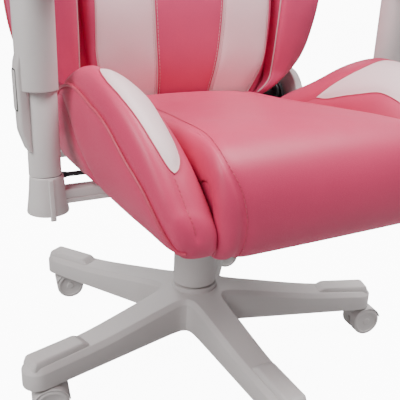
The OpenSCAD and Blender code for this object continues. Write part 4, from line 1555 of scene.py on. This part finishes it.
@dataclass
class Armrest:
    """Bracket, post, sliding sleeve with its button, and the pad."""

    post_x: float = 292
    post_front: float = 118
    leg_start: float = 115
    leg_half: float = 13
    leg_low: float = 366.5
    leg_top: float = 381
    flare_low: float = 350
    flare_top: float = 401.6
    sleeve: float = 25.2
    sleeve_low: float = 511
    sleeve_shift: float = 4.7
    post_swell: float = 1.14
    block_from: float = 17.5
    sleeve_top: float = 650
    pad_half: float = 47
    pad_length: float = 122
    pad_low: float = 659

    def at_post(self) -> Matrix:
        """From the post's own axis to the row frame, on the left."""
        return shift(self.post_x, -self.post_front, 0)

    def bracket(self) -> Shape:
        """The leg under the seat and the flared socket of the post."""
        z1, z2 = self.flare_low, self.flare_top
        made = Shape().lathe_ring(
            ((16.1, z1 + 8), (20, z1 + 1), (25.5, z1), (27.1, z1 + 0.8), (27.5, z1 + 2.4), (25.4, z1 + 17),
             (23.4, z1 + 33), (22.1, z2 - 3), (21.6, z2 - 0.8), (20.9, z2), (16.1, z2)),
            sides=64,
        )
        rib = []
        for z, y in (
            (z1 - 5, -24.6), (z1 - 4, -25.9), (z1 + 2, -26), (z1 + 17, -23.9), (z1 + 33, -21.8),
            (z2 - 3, -20.6), (z2 - 1, -19)
        ):
            flat = rounded_box(3.4, 3, 1.2) + (0, y)
            rib.append(at_height(flat, z))
        made.grid(np.array(rib))
        made.moved(self.at_post())
        end = self.post_x - 12
        middle, reach = (self.leg_start + end) / 2, (end - self.leg_start) / 2
        leg = rounded_box(reach, self.leg_half, 5) + (middle, -self.post_front)
        made.plate(leg, self.leg_low, self.leg_top, 2.6)
        for dy in (-13, 13):
            made.plate(
                rounded_box(reach - 16, 1.8, 1) + (middle + 10, dy - self.post_front), self.leg_low - 4,
                self.leg_low + 2, 0.6
            )
        return made

    def post(self) -> Shape:
        """The fixed column and the tube inside the sleeve."""
        made = Shape().lathe(
            (
                (16, 366), (16, 402), (19, 402.1), (19.5, 402.7), (18.7, 509.4), (18.2, 510.4), (16, 510.6),
                (16, 600)
            )
        )
        made.points = [
            (x * (self.post_swell if x > 0 and 402.05 < z < 510.5 else 1), y, z) for x, y, z in made.points
        ]
        return made.moved(self.at_post())

    def collar(self) -> Shape:
        """The sleeve with the button housing down its outer side."""
        low, high, r = self.sleeve_low, self.sleeve_top, self.sleeve
        made = Shape().lathe_ring(
            ((20.4, low + 0.6), (20.9, low), (22.4, low), (23.1, low + 0.5), (r, low + 1.5), (r, high - 2),
             (r - 0.6, high - 0.5), (r - 1.9, high), (8.4, high), (8.4, high - 8), (16.1, high - 10),
             (16.1, low + 31), (20.4, low + 31))
        )
        made.points = [(x + self.sleeve_shift * (math.hypot(x, y) > 20.6), y, z) for x, y, z in made.points]
        rows = []
        for z, x2 in (
            (436.4, 22.6), (438.5, 23.8), (447, 26.8), (457.5, 30.2), (462, 31.4), (470, 31.8), (500, 32),
            (528, 32.3), (538, 32.1), (546.5, 31), (556, 28.2), (568.6, 24.4), (572, 22.9),
        ):
            half = (x2 - self.block_from) / 2
            flat = rounded_box(half, 13, min(4.5, 0.9 * half)) + (self.block_from + half, 0)
            rows.append(at_height(flat, z))
        return made.grid(np.array(rows)).moved(self.at_post())

    def button(self) -> tuple[Shape, Shape]:
        """The height button, and the black plate of painted shade behind it that fills the gap round it."""
        key = Shape().plate(rounded_box(8.6, 24, 2.4) + (0, 512.5), 30, 33.2, 0.9).moved(SIDEWAYS)
        gap = Shape().plate(rounded_box(9.7, 25.4, 3) + (0, 512.5), 31, 32.6, 0.2).moved(SIDEWAYS)
        return key.moved(self.at_post()), gap.moved(self.at_post())

    def pad(self) -> Shape:
        """The soft pad, with the channel under it that runs on the carrier."""
        rings = (
            (0.93, 0), (0.975, 1.4), (0.995, 4.5), (1, 10), (1, 21), (0.992, 21.8), (0.992, 23), (1, 23.8),
            (0.998, 29), (0.985, 33.5), (0.955, 37.2), (0.9, 39.6), (0.82, 40.8), (0.66, 40.6),
            (0.45, 39.9), (0.2, 39.5),
        )
        rows = [self._oval(26, 96, 0.12, 6.8), self._oval(26, 96, 0.12, 0)]
        for share, up in rings:
            rows.append(
                self._oval(self.pad_half * share, self.pad_length - self.pad_half * (1 - share), 0.62, up)
            )
        return Shape().grid(np.array(rows)).moved(self.at_post())

    def _oval(self, a: float, b: float, power: float, up: float) -> np.ndarray:
        """One ring of the pad."""
        across, along = squared_circle(72, power)
        return at_height(np.column_stack([a * across, b * along - 7]), self.pad_low + up)

    def build(self, shop: Workshop, name: str, side: int) -> None:
        """Builds and fits one armrest."""
        white, painted_shade = "white_nylon", "shadow_gap"
        key, gap = self.button()
        # Painted shade: a thin black ring in the seam where the column meets the socket.
        line = Shape().lathe_ring(
            ((16.2, 401.2), (19.7, 401.2), (19.7, 402.1), (16.2, 402.1)), (self.post_x, -self.post_front)
        )
        for shape, label, finish, body, nodes in (
            (self.bracket(), "arm_socket", white, "seat", [f"arm_bracket_{name}"]),
            (line, "arm_socket_gap", painted_shade, "seat", []),
            (self.post(), "arm_column", white, "seat", [f"arm_post_{name}"]),
            (self.collar(), "arm_collar", white, f"sleeve_{name}", [f"arm_sleeve_{name}"]),
            (gap, "arm_button_gap", painted_shade, f"sleeve_{name}", []),
            (key, "arm_height_button", white, f"button_{name}", [f"arm_button_{name}"]),
        ):
            shop.add(shape.mirrored(side), f"{label}_{name}", finish, body, nodes, 32)
        shop.dress(f"arm_carrier_{name}", "black_nylon", 1.0)
        pad = shop.add(
            self.pad().mirrored(side), f"arm_pad_cover_{name}", "soft_arm_skin", f"pad_{name}",
            [f"arm_pad_{name}"], smooth=45,
        )


@dataclass
class ReclineHinge:
    """Covers over the recline hinges, and the lever on the sitter's right."""

    pivot: tuple[float, float] = (118, 445)
    foot: tuple[float, float] = (50, 392)
    hub: tuple[float, float] = (70, 425)
    inner: float = 252
    outer: float = 270

    def cover(self) -> Shape:
        """The drop-shaped cover with its round boss and its foot."""
        made = Shape().plate(capsule(self.pivot, self.foot, 52, 24, 30), self.inner, self.outer, 3.5)
        disc = circle(72)
        made.plate(disc * 35 + self.pivot, self.outer - 1, self.outer + 1.2, 0.9)
        made.plate(disc * 6 + self.pivot, self.outer, self.outer + 2, 0.8)
        made.moved(SIDEWAYS)
        return made.plate(rounded_box(26, 7.5, 3) + (240, 34.5), 379, 388, 2)

    def lever(self) -> Shape:
        """The release lever: hub, arm and handle."""
        low, high = self.outer + 0.8, self.outer + 7.8
        made = Shape().plate(circle(48) * 11 + self.hub, low, high, 1.2)
        made.plate(capsule(self.hub, (-36, 436), 7.5, 6.2), low, high - 0.6, 1.6)
        made.plate(capsule((-36, 436), (8, 431.5), 7.4, 8.4), low - 0.2, high + 0.4, 2.4)
        return made.moved(SIDEWAYS).merged(
            Shape().lathe(
                ((5, self.inner + 6), (5, self.outer + 3)), sides=28
            ).moved(SIDEWAYS @ shift(*self.hub, 0))
        )

    def build(self, shop: Workshop) -> None:
        """Builds and fits both covers and the lever."""
        for name, side in SIDES.items():
            shop.add(
                self.cover().mirrored(side), f"recline_cover_{name}", "white_nylon", "seat",
                [f"hinge_cover_{name}"], smooth=32,
            )
        shop.add(
            self.lever().mirrored(-1), "recline_handle_bar", "black_nylon", "recline_handle",
            ["recline_lever"], smooth=32,
        )


# ---------------------------------------------------------------- backrest


@dataclass
class Backrest:
    """Tall shell with a striped centre pad, two wings, strap slots and a head pillow.

    Its own frame has x across, y from front to rear and s up along the backrest.
    """

    foot: tuple[float, float, float] = (0, 110, 440)
    lean: float = 8
    front: float = -28
    rear: float = 32
    outline: Table = (
        (-22, 140), (0, 165), (18, 186), (38, 218), (62, 245), (100, 266), (160, 277), (260, 278),
        (360, 264), (440, 262), (520, 276), (570, 280), (615, 266), (660, 222), (700, 186),
        (760, 166), (810, 154), (842, 128), (860, 88),
    )
    # [s, half width, front face]
    pad: Table = (
        (-8, 126, -38), (2, 136, -46), (22, 150, -54), (60, 166, -70), (100, 172, -79), (180, 176, -88),
        (300, 172, -80), (420, 160, -70), (520, 146, -64), (600, 122, -60), (680, 104, -62),
        (760, 112, -68), (808, 108, -64), (832, 96, -54), (842, 84, -40),
    )
    pad_section: Table = (
        (-0.97, 0), (-1, 0.3), (-0.985, 0.7), (-0.92, 0.9), (-0.8, 0.97), (-0.4, 1), (0, 1),
        (0.4, 1), (0.8, 0.97), (0.92, 0.9), (0.985, 0.7), (1, 0.3), (0.97, 0),
    )
    # [s, half width of the rose stripe]
    stripe: Table = (
        (-8, 47), (0, 50), (30, 53), (100, 61), (200, 66), (300, 66), (420, 60), (520, 52), (600, 44),
        (700, 38), (842, 34),
    )
    stitch_gap: float = 4.5
    cream_limit: float = 161
    cream_share: float = 0.94
    # [s, inner x, outer x, front face]
    wing: Table = (
        (0, 150, 164, -36), (10, 160, 180, -46), (22, 173, 197, -55), (36, 182, 213, -60),
        (48, 185, 228, -62),
        (72, 186, 248, -70), (110, 187, 262, -82), (180, 189, 273, -100), (270, 188, 275, -110),
        (360, 184, 261, -104), (440, 176, 259, -92), (520, 164, 272, -78), (570, 154, 276, -66),
        (600, 150, 262, -48),
        (621, 156, 240, -34),
    )
    wing_section: Table = (
        (0.04, 0), (0, 0.5), (0.02, 0.78), (0.12, 0.9), (0.4, 0.97), (0.7, 1), (0.9, 0.94), (0.98, 0.78),
        (1, 0.5), (0.97, 0),
    )
    slot_spot: tuple[float, float] = (144, 668)
    slot_half: tuple[float, float] = (20, 42)
    pillow: Table = ((640, 104), (652, 118), (690, 126), (740, 124), (778, 116), (790, 100))
    pillow_front: float = -98
    pillow_thick: float = 24

    def placed(self, points: np.ndarray) -> np.ndarray:
        """Takes points from the backrest's own frame to the row frame."""
        turn = np.array(Matrix.Rotation(math.radians(-self.lean), 3, "X"))
        return points @ turn.T + np.array(self.foot)

    def at_place(self) -> Matrix:
        """The same move as a matrix."""
        return shift(*self.foot) @ Matrix.Rotation(math.radians(-self.lean), 4, "X")

    def _half(self, s: float) -> float:
        """Half the width of the shell at a height."""
        return float(smooth_row(self.outline, s)[0])

    def shell_skin(self) -> Skin:
        """The upholstered shell behind the pad and wings."""
        across, through = squared_circle(112, 0.45)
        rows = []
        stations = np.linspace(self.outline[0][0], self.outline[-1][0], 120)
        for s in stations:
            thin = 1.0
            if s < 40:
                thin = 0.55 + 0.45 * math.sin(math.pi / 2 * (s + 22) / 62)
            elif s > 800:
                thin = 0.5 + 0.5 * math.cos(math.pi / 2 * (s - 800) / 60)
            y = np.where(through < 0, -through * self.front, through * self.rear) * thin
            rows.append(at_height(np.column_stack([across * self._half(s), y]), s))
        return Skin(np.array(rows), stations, np.arange(len(across)))

    def slot_outline(self, grow: float) -> np.ndarray:
        """Outline of a strap slot in x and s, on the left."""
        (x, s), (half, tall) = self.slot_spot, self.slot_half
        return capsule((x + 4, s - tall + half), (x - 8, s + tall - half), half + grow, half + grow, 16)

    def shell(self, shop: Workshop) -> None:
        """Builds the shell with its slots, seams, piping and zip."""
        skin = self.shell_skin()
        rear_line = [
            np.array([(k * (self._half(s) - 30), self.rear, s) for s in range(8, 780, 4)]) for k in (-1, 1)
        ]
        cross = np.array([(x, self.rear, 96) for x in range(-225, 226, 3)])
        skin.pull_in([*rear_line, cross], 1.6, 5)
        edge = [(self._half(s), s) for s in np.linspace(2, 858, 220)]
        rim = [(x + 0.6, 9, s) for x, s in edge]
        rim += [(x, 9, 861.5) for x in np.linspace(80, -80, 18)]
        rim += [(-x - 0.6, 9, s) for x, s in reversed(edge)]
        pipe_path = self.placed(np.array(rim))
        skin.rows = self.placed(skin.rows)
        cover = skin.piece("backrest_shell_cover", shop.finishes["deep_rose_leather"])
        for side in SIDES.values():
            self._cut(cover, side)
        shop.fit(cover, "backrest", ["back_body"])
        shop.add(
            Shape().tube(pipe_path, 2.2, 8), "backrest_piping", "deep_rose_piping", "backrest",
            smooth=ALL_SMOOTH,
        )
        sewn = Shape()
        for line in rear_line:
            sewn.merged(stitches(self.placed(line + (0, -0.6, 0))))
        shop.add(sewn, "backrest_rear_stitching", "deep_rose_piping", "backrest")
        self._zip(shop)

    def _cut(self, cover: Object, side: int) -> None:
        """Cuts one strap slot through the shell's mesh."""
        flat = self.slot_outline(0.4)
        rows = [np.column_stack([flat[:, 0], np.full(len(flat), y), flat[:, 1]]) for y in (-60, 60)]
        tool = Shape().grid(np.array(rows)).mirrored(side).moved(self.at_place())
        cutter = tool.piece("slot_cutter", cover.data.materials[0])
        cut = cover.modifiers.new("slot", "BOOLEAN")
        cut.operation = "DIFFERENCE"
        cut.solver = "EXACT"
        cut.object = cutter
        finished = bpy.data.meshes.new_from_object(cover.evaluated_get(bpy.context.evaluated_depsgraph_get()))
        cover.modifiers.clear()
        cover.data = finished
        bpy.data.objects.remove(cutter)

    def _zip(self, shop: Workshop) -> None:
        """The zip across the lower rear of the shell."""
        y = self.rear + 0.4
        tape = np.array([(x, y, 96) for x in (-200, 200)])
        made = Shape()
        for low, high, x in ((92.4, 95.2, 200), (96.8, 99.6, 200)):
            flat = np.array([(-x, low), (x, low), (x, high), (-x, high)])
            made.plate(flat, y - 1.2, y, 0.3)
        made.moved(FACING)
        shop.add(made.moved(self.at_place()), "zip_tape", "elastic_webbing", "backrest")
        teeth = stitches(self.placed(tape + (0, 0.2, 0)), 3.0, 1.6, 0.9)
        pull = Shape().plate(rounded_box(4.5, 7, 2) + (-186, 92), y, y + 2.6, 0.8)
        pull.plate(rounded_box(2.6, 11, 1.4) + (-186, 78), y + 0.6, y + 1.8, 0.4)
        teeth.merged(pull.moved(FACING).moved(self.at_place()))
        shop.add(teeth, "zip_teeth_and_pull", "black_nylon", "backrest")

    def _cover(self, shares: np.ndarray, marks: np.ndarray, sizes: Table, count: int) -> Skin:
        """A cover on the shell's face.

        Args:
            shares: The section's points, as shares across and forward.
            marks: The mark of each of those points.
            sizes: Rows of [s, x at share 0, x at share 1, front face].
            count: How many rows the cover gets.

        Returns:
            The cover, with rounded ends.
        """
        floor = self.front - 0.5
        stations = np.linspace(sizes[0][0], sizes[-1][0], count)
        rows = []
        for s in stations:
            x1, x2, face = smooth_row(sizes, s)
            rows.append(at_height(section_row(shares, x1, x2, floor, face), s))
        return rounded_skin(rows, 4, stations, marks)

    def pad_skin(self) -> Skin:
        """The centre pad as a grid: rows run up, points run round the section."""
        section = np.array(self.pad_section)
        dense = np.linspace(4, 8, 400)
        spots = np.array([ring_point(section, t)[0] for t in dense])
        front = np.interp(np.linspace(-0.8, 0.8, 101), spots, dense)
        marks = np.r_[np.linspace(0, 4, 21)[:-1], front, np.linspace(8, 12, 21)[1:], 12.25, 12.5, 12.75]
        shares = np.array([ring_point(section, t) for t in marks])
        sizes = [(s, 0, half, face) for s, half, face in self.pad]
        return self._cover(shares, marks, sizes, 150)

    def rose_half(self, s: float) -> float:
        """Half the width of the rose stripe at a height."""
        return float(smooth_row(self.stripe, s)[0])

    def cream_half(self, s: float) -> float:
        """Distance from the middle to the outer edge of the cream panels."""
        return min(self.cream_limit, self.cream_share * float(smooth_row(self.pad, s)[0]))

    def _pad_line(
        self, skin: Skin, spread: Callable[[float], float], side: int, lift: float, beside: float = 0.0
    ) -> np.ndarray:
        """A line up the pad's face.

        Args:
            skin: The pad's cover.
            spread: Gives the line's distance from the middle at a height.
            side: 1 on the left, -1 on the right.
            lift: How far the line stands off the cover.
            beside: How much further out than spread it runs.

        Returns:
            The line's points.
        """
        raised = skin.rows + skin.normals() * lift
        line = []
        for row, s in zip(raised[6:-6], skin.stations[6:-6]):
            face = row[10:-13]
            order = np.argsort(face[:, 0])
            x = side * (spread(s) + beside)
            line.append([x, np.interp(x, face[order, 0], face[order, 1]), s])
        return np.array(line)

    def centre_pad(self, shop: Workshop) -> None:
        """Builds the striped centre pad."""
        skin = self.pad_skin()
        borders = [(spread, side) for spread in (self.rose_half, self.cream_half) for side in (-1, 1)]
        seams = [self._pad_line(skin, spread, side, 0) for spread, side in borders]
        held = skin.distance(seams) < 3
        held |= skin.rows[..., 1] > self.front - 6
        held[:8] = held[-8:] = True
        skin.pull_in(seams, 1.8, 9)
        skin.inflate(held, 3.0, 3)
        skin.pull_in(seams, 1.4, 3.2)
        x, s = np.abs(skin.rows[..., 0]), skin.rows[..., 2]
        inner = np.array([self.rose_half(v) for v in skin.stations])[:, None]
        outer = np.array([self.cream_half(v) for v in skin.stations])[:, None]
        inset = np.minimum(x - inner, outer - x)
        inset[:, :10] = inset[:, -13:] = -5
        welts = [self._pad_line(skin, spread, side, 0.7) for spread, side in borders]
        threads = [
            self._pad_line(skin, self.rose_half, side, 0.2, beside)
            for beside in (-self.stitch_gap, self.stitch_gap)
            for side in (-1, 1)
        ]
        skin.rows = self.placed(skin.rows)
        cover = skin.piece("backrest_pad_cover", shop.finishes["striped_leather"], inset)
        shop.fit(cover, "backrest", ["back_pad"])
        edge = Shape()
        for line in welts:
            edge.tube(self.placed(line), 1.15, 6)
        shop.add(edge, "backrest_pad_welts", "cream_piping", "backrest", smooth=ALL_SMOOTH)
        sewn = Shape()
        for line in threads:
            sewn.merged(stitches(self.placed(line)))
        shop.add(sewn, "backrest_pad_stitching", "cream_piping", "backrest")

    def wing_skin(self) -> Skin:
        """One wing, on the left."""
        section = np.array(self.wing_section)
        marks = np.linspace(0, len(section), 10 * len(section) + 1)[:-1]
        shares = np.array([ring_point(section, t) for t in marks])
        return self._cover(shares, marks, self.wing, 110)

    def wings(self, shop: Workshop, name: str, side: int) -> None:
        """Builds one wing with its light piping along the inner edge, and a black strip of painted shade in
        the gap beside the pad.
        """
        skin = self.wing_skin()
        inner_edge = [(s, 1.7) for s in np.linspace(12, 612, 44)]
        outer_edge = [(s, 7.3) for s in np.linspace(60, 590, 40)]
        seams = [skin.trace(inner_edge, 140), skin.trace(outer_edge, 140)]
        held = skin.distance(seams) < 3
        held |= skin.rows[..., 1] > self.front - 8
        held[:8] = held[-8:] = True
        skin.pull_in(seams, 1.4, 8)
        skin.inflate(held, 2.5, 4)
        pipe_path = self.placed(skin.trace(inner_edge, 200, 0.9))
        thread_path = self.placed(skin.trace([(s, 7.3) for s, _ in outer_edge], 200, 0.1))
        skin.rows = self.placed(skin.rows)
        if side < 0:
            for points in (pipe_path, thread_path):
                points[:, 0] *= -1
            skin.rows[..., 0] *= -1
        cover = skin.piece(f"backrest_wing_cover_{name}", shop.finishes["deep_rose_leather"])
        shop.fit(cover, "backrest", [f"back_wing_{name}"])
        # Painted shade: a black tube in the webbing finish lies at the bottom of the gap between pad and
        # wing, so the gap reads as deep shade.
        shade_strip = []
        for s in np.linspace(46, 560, 90):
            inside, outside = float(smooth_row(self.pad, s)[0]), float(smooth_row(self.wing, s)[0])
            shade_strip.append((side * (inside + outside) / 2, self.front + 1, s))
        gap = Shape().tube(self.placed(np.array(shade_strip)), 6.5, 10)
        shop.add(gap, f"backrest_gap_painted_shade_{name}", "elastic_webbing", "backrest", smooth=ALL_SMOOTH)
        shop.add(
            Shape().tube(pipe_path, 1.4, 8), f"backrest_wing_piping_{name}", "cream_piping", "backrest",
            smooth=ALL_SMOOTH,
        )
        shop.add(stitches(thread_path), f"backrest_wing_stitching_{name}", "deep_rose_piping", "backrest")

    def bezels(self, shop: Workshop) -> None:
        """The hard rims of the two strap slots."""
        levels = (
            (0.2, self.front - 3), (1.6, self.front - 4.4), (0.4, self.front - 4.8), (-1.4, self.front - 4.4),
            (-2.9, self.front - 3), (-2.9, self.rear + 3), (-1.4, self.rear + 4), (0.4, self.rear + 4),
            (1.6, self.rear + 3.4), (0.2, self.rear + 2.4),
        )
        made = Shape()
        for side in SIDES.values():
            rows = []
            for grow, y in levels:
                flat = self.slot_outline(grow)
                rows.append(np.column_stack([flat[:, 0], np.full(len(flat), y), flat[:, 1]]))
            made.merged(Shape().grid(np.array(rows + rows[:1]), capped=False).mirrored(side))
        made.moved(self.at_place())
        shop.add(made, "strap_slot_rims", "black_nylon", "backrest", ["slot_bezels"], smooth=50)

    def head_pillow(self, shop: Workshop) -> None:
        """The pillow with its piped edge."""
        across, through = squared_circle(96, 0.6)
        low, high = self.pillow[0][0], self.pillow[-1][0]
        rows = []
        stations = np.linspace(low, high, 48)
        for s in stations:
            half = float(smooth_row(self.pillow, s)[0])
            thick = (self.pillow_thick - 3) * math.sin(math.radians(20 + 140 * (s - low) / (high - low)))
            rows.append(at_height(np.column_stack([across * half, through * thick + self.pillow_front]), s))
        skin = rounded_skin(rows, 4, stations, np.arange(len(across)))
        sides = [(float(smooth_row(self.pillow, s)[0]) + 0.5, s) for s in np.linspace(low, high, 40)]
        loop = [(x, self.pillow_front, s) for x, s in sides]
        loop += [(x, self.pillow_front, high + 4) for x in np.linspace(92, -92, 30)]
        loop += [(-x, self.pillow_front, s) for x, s in reversed(sides)]
        loop += [(x, self.pillow_front, low - 4) for x in np.linspace(-96, 96, 30)]
        seam = smooth_line(loop, 300, closed=True)
        held = skin.distance([seam]) < 4
        skin.pull_in([seam], 1.5, 8)
        skin.inflate(held, 3.5, 6)
        skin.rows = self.placed(skin.rows)
        cover = skin.piece("head_pillow_cover", shop.finishes["cream_leather"])
        shop.fit(cover, "backrest", ["head_pillow"])
        pipe = Shape().tube(self.placed(seam), 2.2, 8, closed=True)
        shop.add(pipe, "head_pillow_piping", "deep_rose_piping", "backrest", smooth=ALL_SMOOTH)

    def strap(self, shop: Workshop) -> None:
        """The elastic strap through the slots, with its buckle at the rear."""
        level = self.slot_spot[1]
        flat = rounded_box(135, 56, 6) + (0, -16)
        walls = ((0.5, -12), (0, -11.5), (0, 11.5), (0.5, 12), (1.5, 12), (2, 11.5), (2, -11.5), (1.5, -12))
        rows = [at_height(inset_outline(flat, inset), level + z) for inset, z in walls]
        made = Shape().grid(np.array(rows + rows[:1]), capped=False).moved(self.at_place())
        shop.add(made, "head_strap_webbing", "elastic_webbing", "backrest", ["head_strap"], smooth=50)
        buckle = Shape()
        for x, half in ((-11, 10), (13, 13)):
            buckle.plate(rounded_box(half, 15, 3) + (x, level), 40.4, 44.6, 1.2)
        buckle.moved(FACING).moved(self.at_place())
        shop.add(buckle, "head_strap_buckle", "black_nylon", "backrest", smooth=40)

    def build(self, shop: Workshop) -> None:
        """Builds the whole backrest."""
        self.shell(shop)
        self.centre_pad(shop)
        for name, side in SIDES.items():
            self.wings(shop, name, side)
        self.bezels(shop)
        self.head_pillow(shop)
        self.strap(shop)


# ---------------------------------------------------------------- studio


@dataclass
class Studio:
    """Pale floor, soft lights and the camera."""

    camera_place: tuple[float, float, float] = (-0.465, -0.835, 0.632)
    right: tuple[float, float, float] = (0.87675, -0.47959, 0.03620)
    up: tuple[float, float, float] = (0.13435, 0.31649, 0.93903)
    ahead: tuple[float, float, float] = (0.46181, 0.81843, -0.34191)
    lens: float = 51.4
    sensor: float = 36
    air: float = 0.24
    backdrop: float = 11.0
    # [name, place, target, size, power]
    lamps: Sequence[tuple[str, tuple[float, float, float], tuple[float, float, float], float, float]] = (
        ("key", (-2.2, -0.7, 2.4), (0, 0, 0.45), 1.6, 88),
        ("top", (0.7, -0.5, 2.8), (0, 0, 0.3), 1.8, 105),
        ("rear", (0.6, 2.6, 1.9), (0, 0, 0.7), 1.6, 34),
    )

    def build(self) -> None:
        """Sets the floor, the air, the lamps and the camera."""
        scene = bpy.context.scene
        floor_mesh = bpy.data.meshes.new("floor")
        reach = 12
        floor_mesh.from_pydata(
            [(-reach, -reach, 0), (reach, -reach, 0), (reach, reach, 0), (-reach, reach, 0)], [],
            [(0, 1, 2, 3)]
        )
        w, shader = new_material("pale_floor")
        shader.inputs["Base Color"].default_value = (0.45, 0.45, 0.45, 1)
        shader.inputs["Roughness"].default_value = 0.6
        shader.inputs["Emission Color"].default_value = (1, 1, 1, 1)
        seen = w.node("ShaderNodeLightPath").outputs["Is Camera Ray"]
        w.feed(shader.inputs["Emission Strength"], w.math("MULTIPLY", seen, self.backdrop * 0.97))
        floor_mesh.materials.append(bpy.data.materials["pale_floor"])
        floor = bpy.data.objects.new("floor", floor_mesh)
        scene.collection.objects.link(floor)
        air = bpy.data.worlds.new("studio_air")
        air.use_nodes = True
        sky = air.node_tree.nodes["Background"]
        sky.inputs["Color"].default_value = (1, 1, 1, 1)
        wires = Wiring(air.node_tree)
        seen = wires.node("ShaderNodeLightPath").outputs["Is Camera Ray"]
        wires.feed(sky.inputs["Strength"], wires.spread(seen, 0.0, 1.0, self.air, self.backdrop))
        scene.world = air
        for name, place, target, size, power in self.lamps:
            light = bpy.data.lights.new(name, "AREA")
            light.shape = "DISK"
            light.size = size
            light.energy = power
            lamp = bpy.data.objects.new(name, light)
            lamp.location = place
            lamp.rotation_euler = (Vector(target) - Vector(place)).to_track_quat("-Z", "Y").to_euler()
            scene.collection.objects.link(lamp)
        camera = bpy.data.objects.new("camera", bpy.data.cameras.new("camera"))
        camera.data.lens = self.lens
        camera.data.sensor_width = self.sensor
        axes = zip(self.right, self.up, (-c for c in self.ahead), self.camera_place)
        camera.matrix_world = Matrix([*axes, (0, 0, 0, 1)])
        scene.collection.objects.link(camera)
        scene.camera = camera


def main() -> None:
    """Builds the chair and the studio."""
    logging.basicConfig(level=logging.INFO, format="%(name)s: %(message)s")
    shop = Workshop(Finishes())
    StarBase().build(shop)
    Casters().build(shop)
    GasLift().build(shop)
    SeatMechanism().build(shop)
    SeatCushion().build(shop)
    for name, side in SIDES.items():
        SeatBolster().build(shop, name, side)
        Armrest().build(shop, name, side)
    ReclineHinge().build(shop)
    Backrest().build(shop)
    Studio().build()


if __name__ == "__main__":
    main()
